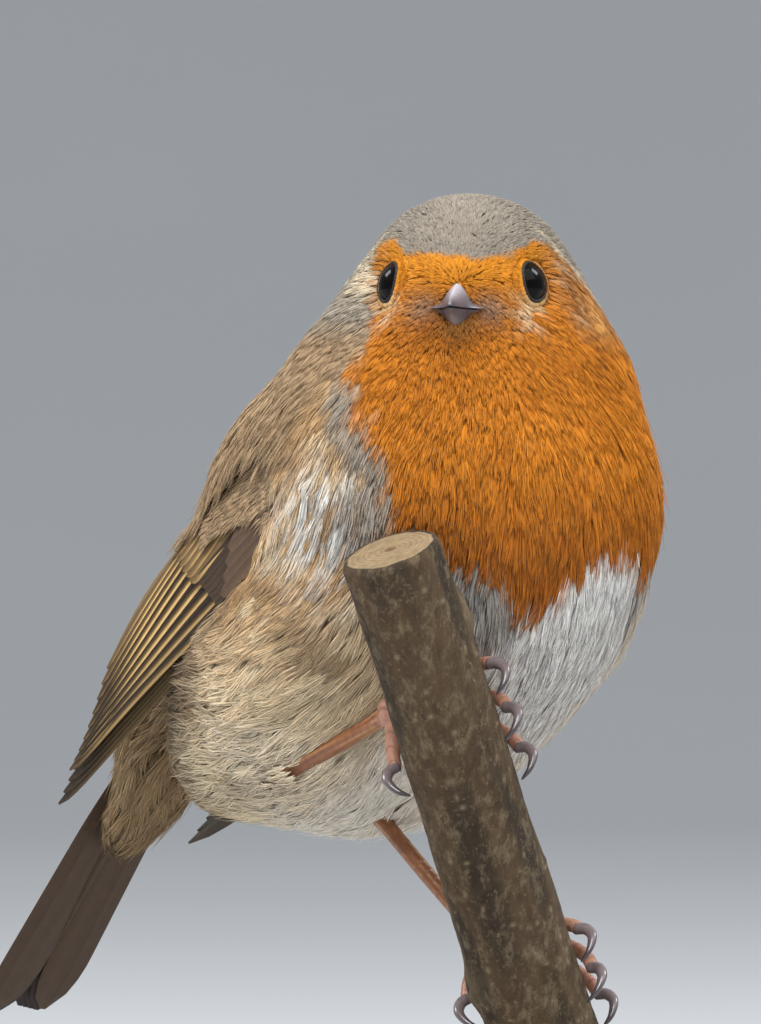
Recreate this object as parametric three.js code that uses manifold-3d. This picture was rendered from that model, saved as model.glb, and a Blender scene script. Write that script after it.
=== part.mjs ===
// A European robin gripping a short cut length of an upright stem, life size, on a plain display stand.
// Millimetres, +Z up. The trunk faces -Y and the bird's right side is -X; its head is turned to its right.
// The origin is the centre of the underside of the stand's base.
import * as THREE from "three";
import { mergeVertices } from "three/addons/utils/BufferGeometryUtils.js";
import Module from "manifold-3d";

const wasm = await Module();
wasm.setup();

const vec = (x, y, z) => new THREE.Vector3(x, y, z);
const radians = THREE.MathUtils.degToRad;
const { lerp, smoothstep } = THREE.MathUtils;

// ---------------------------------------------------------------- driving sizes

const GAP = 0.3; // clearance between neighbouring solids
const WING_ROOM_MARGIN = 1.5; // how far the wing's room in the plumage reaches past its edges
const SIDES = { right: -1, left: 1 };

// Stand
const BASE_RADIUS = 46;
const BASE_THICKNESS = 8;
const BASE_CHAMFER = 1.2;
const ROD_RADIUS = 2.2;
const CUP_RADIUS = 5.4;
const CUP_HEIGHT = 4;
const CUP_FLOOR_Z = 20;

// The middle of the trunk stands this high, and every body point below is measured from it.
const TRUNK_HEIGHT = 98;
const trunkOrigin = vec(0, 0, TRUNK_HEIGHT);

// Head, in its own frame: X across, -Y towards the bill, origin between the eyes
const HEAD_AT = vec(0, -7, 36.6);
const HEAD_TURN = radians(-48);
const EYE_RADIUS = 3.3;
const EYE_LOOK = vec(Math.sin(radians(52)), -Math.cos(radians(52)), 0);
const EYE_LINE_FROM = vec(2.6, -4.9, -0.75);
const EYE_PROUD = 0.95; // how far the eyeball stands out of the plumage
const BILL_BASE_Y = -8;
const BILL_TIP_Y = -24.2;
const BILL_GAPE_Z = -3.4;
const BILL_RISE = 0.3; // the gape line climbs by this much towards the tip

// Tail, in its own frame: the root inside the rump, +Y along the feathers, +Z dorsal
const TAIL_ROOT = vec(0, 40.4, -8);
const TAIL_PITCH = radians(-50.4);
const TAIL_LENGTH = 58.5;
const TAIL_FEATHERS_A_SIDE = 6;
const FEATHER_THICKNESS = 0.55;
const TAIL_ROOT_WIDTH = 12;
const TAIL_DEPTH = 2.4;

// Wings: the wrist, the tip and the way across the folded wing, for the right wing with x mirrored
const WRIST = vec(22.4, -4, 13);
const WING_TIP = { right: vec(13, 55.6, -26.6), left: vec(12, 57.2, -32) };
const WING_ACROSS = vec(-0.32, 0.54, 0.78);
const WING_BULGE = 1.3;
const PRIMARY_FLOOR = -1.5;
const SECONDARY_ROOF = 1.5;
const MANTLE_OVERLAP = 5;
const COVERTS_THICKNESS = 5.8;
const COVERTS_LENGTH = 33;

// The folded wing's lower and upper edges at some distances from the wrist
const WING_EDGES = [
  { along: -4, low: -4, high: 10 },
  { along: 8, low: -5.6, high: 13 },
  { along: 30, low: -3.2, high: 14.6 },
  { along: 42, low: -1.6, high: 14.2 },
  { along: 52, low: -0.4, high: 10.6 },
  { along: 64, low: -1.6, high: 5.6 },
  { along: 73, low: -1.4, high: 2.4 },
];

// Legs
const TARSUS_RADIUS = 1.05;
const ANKLE = { right: vec(-17, 7.6, -22), left: vec(-4.4, 6.2, -25.6) };

// Perch: an upright stem, in its own frame with +Z along it
const PERCH_AT = vec(-16.5, -20.8, -15);
const PERCH_WAY = vec(-0.464, -0.04, 1).normalize();
const PERCH_TOP = 22;
const PERCH_RADIUS_TOP = 6.1;
const PERCH_RADIUS_FOOT = 6.9;

// ---------------------------------------------------------------- solids

// A geometry as a manifold-3d solid, and back.
function solidOf(geometry) {
  const bare = new THREE.BufferGeometry().setAttribute("position", geometry.getAttribute("position"));
  if (geometry.index) bare.setIndex(geometry.index);
  const merged = mergeVertices(bare, 1e-4);
  return new wasm.Manifold(
    new wasm.Mesh({
      numProp: 3,
      vertProperties: new Float32Array(merged.attributes.position.array),
      triVerts: new Uint32Array(merged.index.array),
    }),
  );
}

function geometryOf(solid) {
  const mesh = solid.getMesh();
  const positions = new Float32Array(mesh.numVert * 3);
  for (let i = 0; i < mesh.numVert; i++) {
    positions.set(mesh.vertProperties.subarray(i * mesh.numProp, i * mesh.numProp + 3), i * 3);
  }
  return new THREE.BufferGeometry()
    .setAttribute("position", new THREE.BufferAttribute(positions, 3))
    .setIndex(new THREE.BufferAttribute(mesh.triVerts, 1));
}

function union(solids) {
  return solids.reduce((whole, next) => whole.add(next));
}

// Only the largest body of a cut solid is kept, so that no loose sliver stays behind.
function largest(solid) {
  return solid.decompose().reduce((a, b) => (b.volume() > a.volume() ? b : a));
}

// A closed skin over rings of equal count, its two ends closed by a fan about each end's middle point.
function loft(rings, firstPole, lastPole) {
  const sides = rings[0].length;
  const points = rings.flat();
  const poles = [firstPole ?? middleOf(rings[0]), lastPole ?? middleOf(rings.at(-1))];
  const index = [];
  for (let r = 0; r + 1 < rings.length; r++) {
    for (let s = 0; s < sides; s++) {
      const a = r * sides + s;
      const b = r * sides + ((s + 1) % sides);
      index.push(a, b, b + sides, a, b + sides, a + sides);
    }
  }
  const last = (rings.length - 1) * sides;
  for (let s = 0; s < sides; s++) {
    const next = (s + 1) % sides;
    index.push(points.length, next, s);
    index.push(points.length + 1, last + s, last + next);
  }
  const geometry = new THREE.BufferGeometry().setFromPoints([...points, ...poles]).setIndex(index);
  return solidFacingOut(geometry);
}

function solidFacingOut(geometry) {
  const solid = solidOf(geometry);
  if (solid.volume() > 0) return solid;
  const order = geometry.index.array;
  for (let i = 0; i < order.length; i += 3) [order[i + 1], order[i + 2]] = [order[i + 2], order[i + 1]];
  return solidOf(geometry);
}

function middleOf(ring) {
  return ring.reduce((sum, p) => sum.add(p), vec(0, 0, 0)).divideScalar(ring.length);
}

// A round tube along a curve. radiusAt(t) gives its radius, and both ends are domed.
function tube(curve, radiusAt, sides, steps) {
  const up = vec(0.13, 0.21, 0.97).normalize();
  const ringAt = (t, shrink, push) => {
    const tangent = curve.getTangent(t);
    const across = vec(0, 0, 0).crossVectors(tangent, up).normalize();
    const over = vec(0, 0, 0).crossVectors(tangent, across);
    const centre = curve.getPoint(t).addScaledVector(tangent, push * radiusAt(t));
    return Array.from({ length: sides }, (_, s) => {
      const angle = (2 * Math.PI * s) / sides;
      const reach = radiusAt(t) * shrink;
      const point = centre.clone().addScaledVector(across, reach * Math.cos(angle));
      return point.addScaledVector(over, reach * Math.sin(angle));
    });
  };
  const rings = [ringAt(0, 0.7, -0.6)];
  for (let i = 0; i <= steps; i++) rings.push(ringAt(i / steps, 1, 0));
  rings.push(ringAt(1, 0.7, 0.6));
  const endPoint = (t, push) => curve.getPoint(t).addScaledVector(curve.getTangent(t), push * radiusAt(t));
  return loft(rings, endPoint(0, -0.9), endPoint(1, 0.9));
}

function cylinder(radius, low, high, segments) {
  const geometry = new THREE.CylinderGeometry(radius, radius, high - low, segments);
  geometry.rotateX(Math.PI / 2).translate(0, 0, (low + high) / 2);
  return solidOf(geometry);
}

// ---------------------------------------------------------------- plumage envelope

// A point beside the tail: so far from its root along the feathers, and so far above them.
function alongTail(along, above) {
  return vec(0, along, above).applyAxisAngle(vec(1, 0, 0), TAIL_PITCH).add(TAIL_ROOT);
}

// Each form is an ellipsoid: its middle, its radii, and its pitch about X in degrees. They blend smoothly.
const bodyForms = [
  { name: "breast", at: vec(0.2, -3.2, 10), radii: vec(25.7, 25.6, 24.9), pitch: 0, blend: 0 },
  { name: "keel", at: vec(8, -4.2, -2.4), radii: vec(13.2, 16.2, 11.6), pitch: 0, blend: 5, paired: true },
  { name: "belly", at: vec(0, 7, -7), radii: vec(23.9, 19.9, 25.5), pitch: 45, blend: 8 },
  { name: "vent", at: vec(0, 25, -16), radii: vec(14, 10, 17), pitch: 58, blend: 8 },
  { name: "rump", at: vec(0, 22, -1.5), radii: vec(19, 12, 18), pitch: 38, blend: 8 },
  { name: "uppertail", at: alongTail(2, 2), radii: vec(9.4, 4.4, 15), pitch: 39.6, blend: 6 },
  { name: "undertail", at: alongTail(13, -2.8), radii: vec(6.4, 3.4, 17.5), pitch: 39.6, blend: 6 },
  { name: "mantle", at: vec(10.3, 10.9, 9.7), radii: vec(9.8, 13.3, 13.5), pitch: 0, blend: 6, paired: true },
  { name: "neck", at: vec(1.4, -5, 25.6), radii: vec(20.8, 17, 12.4), pitch: 0, blend: 6 },
];

const headForms = [
  { name: "crown", at: vec(0, 0, 0), radii: vec(12.4, 13.4, 10.8), pitch: 0, blend: 0 },
  { name: "face", at: vec(0, -7.6, -2.2), radii: vec(6.6, 6.4, 5.6), pitch: 0, blend: 4 },
  { name: "cheek", at: vec(6, 0.4, -4.6), radii: vec(7.4, 9, 7.6), pitch: 0, blend: 4, paired: true },
  { name: "brow", at: vec(5.6, -6.4, 3.4), radii: vec(3.6, 4.4, 2.6), pitch: 0, blend: 2.5, paired: true },
  { name: "throat", at: vec(0, -4.5, -8.5), radii: vec(8.6, 7.6, 7), pitch: 0, blend: 5 },
];

const HEAD_BLEND = 6;

function ellipsoidDistance(point, form, side) {
  const q = vec(point.x * side - form.at.x, point.y - form.at.y, point.z - form.at.z);
  q.applyAxisAngle(vec(1, 0, 0), radians(-form.pitch));
  const near = q.clone().divide(form.radii).length();
  const steep = q.divide(form.radii).divide(form.radii).length();
  return steep < 1e-9 ? -form.radii.x : (near * (near - 1)) / steep;
}

function blended(a, b, reach) {
  const overlap = Math.max(reach - Math.abs(a - b), 0) / Math.max(reach, 1e-6);
  return Math.min(a, b) - (overlap * overlap * reach) / 4;
}

function distanceTo(forms, point) {
  let distance = Infinity;
  for (const form of forms) {
    let d = ellipsoidDistance(point, form, 1);
    if (form.paired) d = Math.min(d, ellipsoidDistance(point, form, -1));
    distance = distance === Infinity ? d : blended(distance, d, form.blend);
  }
  return distance;
}

function toHeadFrame(point) {
  return point.clone().sub(HEAD_AT).applyAxisAngle(vec(0, 0, 1), -HEAD_TURN);
}

function fromHeadFrame(point) {
  return point.clone().applyAxisAngle(vec(0, 0, 1), HEAD_TURN).add(HEAD_AT);
}

// Negative inside the plumage. The point is measured from the trunk's middle.
function plumage(point) {
  return blended(distanceTo(bodyForms, point), distanceTo(headForms, toHeadFrame(point)), HEAD_BLEND);
}

// How far the plumage reaches from a point inside it.
function reachOf(from, way) {
  const at = (t) => plumage(from.clone().addScaledVector(way, t));
  let outside = 0;
  while (at(outside) < 0) outside += 1;
  let inside = Math.max(outside - 1, 0);
  for (let i = 0; i < 14; i++) {
    const half = (inside + outside) / 2;
    if (at(half) < 0) inside = half;
    else outside = half;
  }
  return inside;
}

const SPINE = [
  vec(0, -7, 37),
  vec(0, -6, 27),
  vec(0, -2, 12),
  vec(0, 6, -4),
  vec(0, 20, -12),
  vec(0, 40, -16),
  vec(0, 53, -29),
];

// Rays leave the bird's spine square to it and meet the plumage; a dome of rays closes each end.
function plumageSolid() {
  const spine = new THREE.CatmullRomCurve3(SPINE);
  const RAYS = 24;
  const STATIONS = 26;
  const DOME_RINGS = 3;
  const side = vec(1, 0, 0);
  const meet = (from, way) => from.clone().addScaledVector(way, reachOf(from, way));
  const ring = (t, tilt) => {
    const from = spine.getPointAt(t);
    const tangent = spine.getTangentAt(t);
    const over = vec(0, 0, 0).crossVectors(tangent, side).normalize();
    return Array.from({ length: RAYS }, (_, i) => {
      const angle = (2 * Math.PI * (i + 0.5)) / RAYS;
      const way = side.clone().multiplyScalar(Math.cos(angle)).addScaledVector(over, Math.sin(angle));
      way.multiplyScalar(Math.cos(tilt)).addScaledVector(tangent, Math.sin(tilt));
      return meet(from, way.normalize());
    });
  };
  const rings = [];
  const domeTilt = (k) => (Math.PI / 2) * (k / (DOME_RINGS + 1));
  for (let k = DOME_RINGS; k >= 1; k--) rings.push(ring(0, -domeTilt(k)));
  for (let k = 0; k <= STATIONS; k++) rings.push(ring(k / STATIONS, 0));
  for (let k = 1; k <= DOME_RINGS; k++) rings.push(ring(1, domeTilt(k)));
  const first = meet(spine.getPointAt(0), spine.getTangentAt(0).negate());
  const last = meet(spine.getPointAt(1), spine.getTangentAt(1));
  return loft(rings, first, last).translate([0, 0, TRUNK_HEIGHT]);
}

// The head's own skin: rays from its middle, closest together about the bill.
function headSolid() {
  const RAYS = 21;
  const RINGS = 17;
  const FURTHEST = 30;
  const forward = vec(0, -1, 0).applyAxisAngle(vec(0, 0, 1), HEAD_TURN);
  const side = vec(1, 0, 0).applyAxisAngle(vec(0, 0, 1), HEAD_TURN);
  const over = vec(0, 0, 1);
  const meet = (way) => HEAD_AT.clone().addScaledVector(way, Math.min(reachOf(HEAD_AT, way), FURTHEST));
  const rings = Array.from({ length: RINGS }, (_, k) => {
    const polar = Math.PI * ((k + 0.7) / (RINGS + 0.4)) ** 1.1;
    return Array.from({ length: RAYS }, (__, i) => {
      const angle = (2 * Math.PI * (i + 0.5)) / RAYS;
      const way = side.clone().multiplyScalar(Math.cos(angle)).addScaledVector(over, Math.sin(angle));
      return meet(way.multiplyScalar(Math.sin(polar)).addScaledVector(forward, Math.cos(polar)));
    });
  });
  return loft(rings, meet(forward), meet(forward.clone().negate())).translate([0, 0, TRUNK_HEIGHT]);
}

// A block that reaches from one height to another along the neck's lean, used to part the plumage.
function slice(low, high) {
  const geometry = new THREE.BoxGeometry(140, 200, high - low);
  geometry.translate(0, 0, (low + high) / 2).rotateX(radians(-12)).translate(0, 0, TRUNK_HEIGHT);
  return solidOf(geometry);
}

// ---------------------------------------------------------------- long feathers

// One feather as a thin plate in the XY plane: it grows from its root along +Y, and its tip is rounded.
// slim is the width's share at the root, and dish lowers the two edges.
function featherPlate({ length, width, slim = 0.45, tip = 0.5, dish = 0, thickness = FEATHER_THICKNESS }) {
  const STEPS = 4;
  const rings = [];
  for (let i = 0; i <= STEPS; i++) {
    const t = 1 - (1 - i / STEPS) ** 1.6;
    const rounding = Math.sqrt(Math.max(1 - Math.max((t - 1 + tip * 0.3) / (tip * 0.3), 0) ** 2, 0.03));
    const half = (width / 2) * lerp(slim, 1, smoothstep(t, 0, 0.55)) * rounding;
    const y = t * length;
    rings.push([
      vec(-half, y, -dish), vec(0, y, 0), vec(half, y, -dish),
      vec(half, y, -dish - thickness), vec(0, y, -thickness), vec(-half, y, -dish - thickness),
    ]);
  }
  return loft(rings);
}

function moved(solid, matrix) {
  return solid.transform([...matrix.elements]);
}

function placedFeather(plate, { x = 0, y = 0, z = 0, turn = 0 }) {
  return moved(plate, new THREE.Matrix4().makeRotationZ(turn).setPosition(x, y, z));
}

// ---------------------------------------------------------------- tail

const tailMatrix = new THREE.Matrix4().makeRotationX(TAIL_PITCH);
tailMatrix.setPosition(TAIL_ROOT.clone().add(trunkOrigin));

// The middle pair lies on top and is a little shorter, which leaves the shallow notch.
function tailSolid() {
  const FAN_STEP = radians(0.42);
  const LAYER = 0.3;
  const TOP_LAYER = 0.8;
  const WIDTH = 7.6;
  const NOTCH = 1.2;
  const feathers = [];
  for (const side of Object.values(SIDES)) {
    for (let k = 0; k < TAIL_FEATHERS_A_SIDE; k++) {
      const length = TAIL_LENGTH - (k === 0 ? NOTCH : 0);
      const plate = featherPlate({ length, width: WIDTH, slim: 0.4, tip: 0.45 });
      const x = side * (0.4 + 0.25 * k);
      const turn = -side * FAN_STEP * (0.5 + k);
      feathers.push(placedFeather(plate, { x, z: TOP_LAYER - LAYER * k, turn }));
    }
  }
  return moved(union(feathers), tailMatrix);
}

// ---------------------------------------------------------------- wings

// The folded wing's own frame: origin at the wrist, +Y to the tip, +X up across it, +Z out from the body.
function wingMatrix(name) {
  const side = SIDES[name];
  const mirror = vec(side, 1, 1);
  const wrist = WRIST.clone().multiply(mirror);
  const along = WING_TIP[name].clone().multiply(mirror).sub(wrist).normalize();
  const out = vec(0, 0, 0).crossVectors(along, WING_ACROSS.clone().multiply(mirror)).normalize();
  if (out.x * side < 0) out.negate();
  const across = vec(0, 0, 0).crossVectors(along, out).normalize();
  if (across.z < 0) across.negate();
  return new THREE.Matrix4().makeBasis(across, along, out).setPosition(wrist.add(trunkOrigin));
}

const wingLength = (name) => WING_TIP[name].distanceTo(WRIST);

// Feathers of the folded wing, from the leading edge up.
// root and tip are [across, along], and layer counts outwards.
function flightFeathers(name) {
  const length = wingLength(name);
  const primaries = Array.from({ length: 6 }, (_, k) => ({
    root: [-1.6 + 0.9 * k, 14],
    tip: [0.6 + 1.1 * k, length - 3.2 * k],
    width: 5.4,
    layer: k,
  }));
  const secondaries = Array.from({ length: 5 }, (_, k) => ({
    root: [2.8 + 1.9 * k, 11],
    tip: [5.8 + 1.4 * k, length * (0.775 - 0.045 * k)],
    width: 6.4,
    layer: k,
  }));
  return { primaries, secondaries };
}

// The wing's sheet bows out from the body between wrist and tip, and rolls over towards the back.
const WING_LAYER = 0.22;
const bow = (y, length) => WING_BULGE * Math.sin(Math.PI * Math.min(Math.max(y / length, 0), 1));
const roll = (x) => -0.03 * Math.max(x - 4, 0) ** 2;

function layeredSolid(feathers, length, startZ) {
  const plates = feathers.map((feather) => {
    const [x0, y0] = feather.root;
    const [x1, y1] = feather.tip;
    const reach = Math.hypot(x1 - x0, y1 - y0);
    const plate = featherPlate({ length: reach, width: feather.width, slim: 0.6, tip: 0.6 });
    const turn = -Math.atan2(x1 - x0, y1 - y0);
    return placedFeather(plate, { x: x0, y: y0, z: startZ + WING_LAYER * feather.layer, turn });
  });
  return union(plates).warp((p) => {
    p[2] += bow(p[1], length) + roll(p[0]);
  });
}

// The small feathers over the wrist and forearm: a thin leaf-shaped pad. grow makes a larger one to cut with.
function covertSolid(length, grow) {
  const STEPS = 7;
  const AROUND = 12;
  const rings = [];
  for (let i = 0; i <= STEPS; i++) {
    const t = lerp(0.02, 0.985, i / STEPS);
    const swell = Math.sqrt(Math.max(1 - (2 * t - 1) ** 4, 0));
    const middle = lerp(3.4, 6.6, t);
    const half = 9.4 * swell + grow;
    const deep = (COVERTS_THICKNESS / 2) * lerp(1, 0.5, t) * (0.35 + 0.65 * swell) + grow;
    const y = lerp(-3 - grow, COVERTS_LENGTH - 3 + grow, t);
    rings.push(
      Array.from({ length: AROUND }, (_, s) => {
        const angle = (2 * Math.PI * s) / AROUND;
        const x = middle + half * Math.cos(angle);
        return vec(x, y, deep * Math.sin(angle) + bow(y, length) + roll(x));
      }),
    );
  }
  return loft(rings);
}

function wingSolids(name) {
  const length = wingLength(name);
  const { primaries, secondaries } = flightFeathers(name);
  const secondaryFloor = PRIMARY_FLOOR + WING_LAYER * (primaries.length - 1) + FEATHER_THICKNESS + GAP;
  const covertsRoom = covertSolid(length, GAP);
  return {
    primaries: largest(layeredSolid(primaries, length, PRIMARY_FLOOR).subtract(covertsRoom)),
    secondaries: largest(layeredSolid(secondaries, length, secondaryFloor).subtract(covertsRoom)),
    coverts: covertSolid(length, 0),
  };
}

// The room that the plumage gives up to the folded wing.
// trim narrows it at the upper edge, and extra opens it outwards.
function roomSlab(length, trim, extra) {
  const ACROSS = 4;
  const rings = WING_EDGES.map(({ along, low, high }) => {
    const onwards = smoothstep(along, 24, 42);
    const floor = lerp(-COVERTS_THICKNESS / 2, PRIMARY_FLOOR - FEATHER_THICKNESS, onwards) - GAP;
    const roof = lerp(COVERTS_THICKNESS / 2, SECONDARY_ROOF, onwards) + GAP + extra;
    const row = (z) => Array.from({ length: ACROSS + 1 }, (_, k) => {
      const x = lerp(low - WING_ROOM_MARGIN, high + WING_ROOM_MARGIN - trim, k / ACROSS);
      return vec(x, along, z + bow(along, length) + roll(x));
    });
    return [...row(floor), ...row(roof).toReversed()];
  });
  return loft(rings);
}

// The mantle's feathers lie over the wing's upper edge; elsewhere the wing is bare.
function wingRoom(length) {
  return roomSlab(length, 0, 0).add(roomSlab(length, MANTLE_OVERLAP, 9));
}

// ---------------------------------------------------------------- bill and eyes

// The bill's section narrows to the tip. height and width are those of the half above or below the gape line.
function billHalf({ height, width, tipY, up, grow = 0 }) {
  const STEPS = 7;
  const ROUND = 7;
  const rings = [];
  for (let i = 0; i <= STEPS; i++) {
    const t = i / STEPS;
    const y = lerp(BILL_BASE_Y + grow, tipY - grow, t);
    const half = (width / 2) * (1 - t) ** 0.72 + 0.28 + grow;
    const tall = height * (1 - t) ** 0.62 + 0.3 + 2 * grow;
    const gape = BILL_GAPE_Z + BILL_RISE * t + up * (GAP / 2 - grow);
    const ring = [];
    for (let s = 0; s <= ROUND; s++) {
      const angle = (Math.PI * s) / ROUND;
      ring.push(vec(half * Math.cos(angle), y, gape + up * tall * Math.sin(angle) ** 0.85));
    }
    rings.push(ring);
  }
  return loft(rings);
}

const headMatrix = new THREE.Matrix4().makeRotationZ(HEAD_TURN).setPosition(HEAD_AT.clone().add(trunkOrigin));

const ball = (radius, at, detail) => {
  const geometry = new THREE.SphereGeometry(radius, detail * 2, detail);
  geometry.translate(at.x, at.y, at.z);
  return solidOf(geometry);
};

// ---------------------------------------------------------------- perch and feet

const perchTurn = new THREE.Quaternion().setFromUnitVectors(vec(0, 0, 1), PERCH_WAY);
const perchOrigin = PERCH_AT.clone().add(trunkOrigin);
const perchMatrix = new THREE.Matrix4().compose(perchOrigin, perchTurn, vec(1, 1, 1));
const PERCH_FOOT = -(PERCH_AT.z + TRUNK_HEIGHT - CUP_FLOOR_Z - CUP_HEIGHT) / PERCH_WAY.z;

function perchRadius(s) {
  return lerp(PERCH_RADIUS_FOOT, PERCH_RADIUS_TOP, (s - PERCH_FOOT) / (PERCH_TOP - PERCH_FOOT));
}

// A stem with a slight sweep and two old bud scars, cut square at the top and level at the foot.
function perchSolid() {
  const AROUND = 16;
  const STEPS = 11;
  const BUDS = [{ s: 12, angle: radians(-35) }, { s: -33, angle: radians(150) }];
  const low = PERCH_FOOT - 6;
  const rings = [];
  for (let i = 0; i <= STEPS; i++) {
    const s = lerp(low, PERCH_TOP, i / STEPS);
    rings.push(
      Array.from({ length: AROUND }, (_, k) => {
        const angle = (2 * Math.PI * k) / AROUND;
        let radius = perchRadius(s);
        for (const bud of BUDS) {
          const turn = Math.atan2(Math.sin(angle - bud.angle), Math.cos(angle - bud.angle));
          radius += 1.1 * Math.exp(-((turn / 0.4) ** 2) - ((s - bud.s) / 2.6) ** 2);
        }
        return vec(radius * Math.cos(angle), radius * Math.sin(angle), s);
      }),
    );
  }
  const stem = moved(loft(rings), perchMatrix);
  const BLOCK = 40;
  const block = new THREE.BoxGeometry(2 * BLOCK, 2 * BLOCK, BLOCK);
  block.translate(PERCH_AT.x, PERCH_AT.y, CUP_FLOOR_Z + CUP_HEIGHT - BLOCK / 2);
  return stem.subtract(solidOf(block));
}

// Angles round the perch start at this turn, which faces the trunk, and grow anticlockwise seen from above.
const BACK_OF_PERCH = radians(48);

// The pad of each foot and the end of each toe: degrees round the perch, and millimetres along it.
const feet = {
  right: {
    pad: { angle: 46, s: 0.6 },
    toes: [
      { name: "inner", angle: -68, s: 4.2 },
      { name: "middle", angle: -82, s: -1 },
      { name: "outer", angle: -74, s: -6.6 },
      { name: "hind", angle: 78, s: -4.4 },
    ],
  },
  left: {
    pad: { angle: 24, s: -31.6 },
    toes: [
      { name: "inner", angle: -72, s: -39.4 },
      { name: "middle", angle: -86, s: -35.2 },
      { name: "outer", angle: -74, s: -30.6 },
      { name: "hind", angle: 76, s: -35 },
    ],
  },
};

function onPerch(angle, s, lift) {
  const turn = radians(angle) + BACK_OF_PERCH;
  const reach = perchRadius(s) + lift;
  return vec(reach * Math.cos(turn), reach * Math.sin(turn), s);
}

function toePath(pad, toe) {
  const points = [0, 0.25, 0.5, 0.75, 1].map((t) =>
    onPerch(lerp(pad.angle, toe.angle, t), lerp(pad.s, toe.s, t), GAP + lerp(1.25, 0.95, t)),
  );
  return new THREE.CatmullRomCurve3(points);
}

// The toes and their common pad, as one solid. grow makes a larger one to cut with.
function footSolid({ pad, toes }, grow) {
  const PAD_RADIUS = 1.75;
  const toeRadius = (t) => lerp(1.12, 0.82, t) + grow;
  const parts = toes.map((toe) => tube(toePath(pad, toe), toeRadius, 6, 5));
  parts.push(ball(PAD_RADIUS + grow, onPerch(pad.angle, pad.s, GAP + PAD_RADIUS), 4));
  return union(parts);
}

// A claw leaves the toe's end, arches off the bark and comes down to it a little lower.
function clawPath(pad, toe) {
  const REACH = 38;
  const DROP = 2.4;
  const way = Math.sign(toe.angle - pad.angle);
  const ahead = (t, lift) => onPerch(toe.angle + way * REACH * t, toe.s - DROP * t * t, lift);
  const points = [ahead(0.1, 1.5), ahead(0.42, 2.3), ahead(0.78, 1.9), ahead(1, 0.75)];
  return new THREE.CatmullRomCurve3(points);
}

function clawSolid(pad, toe) {
  return tube(clawPath(pad, toe), (t) => lerp(0.72, 0.27, t), 5, 3);
}

// The shank runs from the ankle to the foot's pad.
function shankPath(name) {
  const { pad } = feet[name];
  const foot = onPerch(pad.angle, pad.s, GAP + 2.1).applyMatrix4(perchMatrix);
  const ankle = ANKLE[name].clone().add(trunkOrigin);
  const sag = vec(0, 0, -0.25);
  const middle = ankle.clone().lerp(foot, 0.5).add(sag);
  return new THREE.CatmullRomCurve3([ankle, middle, foot]);
}

// Thicker at the ankle and again at the pad.
function shankRadius(t) {
  const ankle = 0.55 * Math.exp(-((t / 0.1) ** 2));
  const pad = 0.25 * Math.exp(-(((t - 1) / 0.09) ** 2));
  return TARSUS_RADIUS * (1 + ankle + pad);
}

// ---------------------------------------------------------------- assembly

function material(color, roughness, metalness = 0) {
  return new THREE.MeshStandardMaterial({ color, roughness, metalness });
}
const looks = {
  crown: material(0x8d8478, 0.9),
  breast: material(0xc96f14, 0.9),
  belly: material(0xcfc8bc, 0.9),
  flank: material(0x9a845f, 0.9),
  flight: material(0x5a4631, 0.75),
  horn: material(0x4a4547, 0.4),
  eye: material(0x0a0807, 0.08),
  leg: material(0xa8694a, 0.6),
  claw: material(0x6b5f60, 0.45),
  bark: material(0x6b5f50, 0.95),
  brass: material(0xb08d4c, 0.35, 1),
  base: material(0x2b2622, 0.5),
};

const robin = new THREE.Group();

function addMesh(name, solid, look, parent = robin) {
  const mesh = new THREE.Mesh(geometryOf(solid), look);
  mesh.name = name;
  parent.add(mesh);
  return mesh;
}

// Wings first, because the trunk makes room for them.
const wings = {};
const rooms = [];
for (const name of Object.keys(SIDES)) {
  const matrix = wingMatrix(name);
  const placed = Object.entries(wingSolids(name)).map(([part, solid]) => [part, moved(solid, matrix)]);
  wings[name] = Object.fromEntries(placed);
  rooms.push(moved(wingRoom(wingLength(name)), matrix));
}
const tail = tailSolid();

const legs = {};
for (const name of Object.keys(SIDES)) {
  const shank = tube(shankPath(name), shankRadius, 8, 7);
  const shankClear = tube(shankPath(name), (t) => shankRadius(t) + GAP, 8, 7);
  const foot = moved(footSolid(feet[name], 0), perchMatrix);
  const footClear = moved(footSolid(feet[name], GAP / 2), perchMatrix);
  const { pad, toes } = feet[name];
  const claws = toes.map((toe) => ({ toe: toe.name, solid: moved(clawSolid(pad, toe), perchMatrix) }));
  legs[name] = { shank, shankClear, foot, footClear, claws };
}

const perch = perchSolid();
const perchRoom = cylinder(PERCH_RADIUS_FOOT + GAP, PERCH_FOOT, PERCH_TOP + GAP, 24);
const perchClear = moved(perchRoom, perchMatrix);

let plumes = plumageSolid();
const tailSlot = new THREE.BoxGeometry(TAIL_ROOT_WIDTH, TAIL_LENGTH, TAIL_DEPTH + 2 * GAP);
tailSlot.translate(0, TAIL_LENGTH / 2 - GAP, -0.1);
const tailClear = moved(solidOf(tailSlot), tailMatrix);
// The breast rests against the perch beside the right foot, so the feathers part round its toes.
const toeRoom = moved(cylinder(PERCH_RADIUS_FOOT + 2.6, -8.4, 6, 24), perchMatrix);
for (const cutter of [...rooms, tailClear, legs.right.shankClear, legs.left.shankClear, perchClear, toeRoom]) {
  plumes = plumes.subtract(cutter);
}

function headReach(from, way) {
  return reachOf(fromHeadFrame(from), way.clone().applyAxisAngle(vec(0, 0, 1), HEAD_TURN));
}

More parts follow.
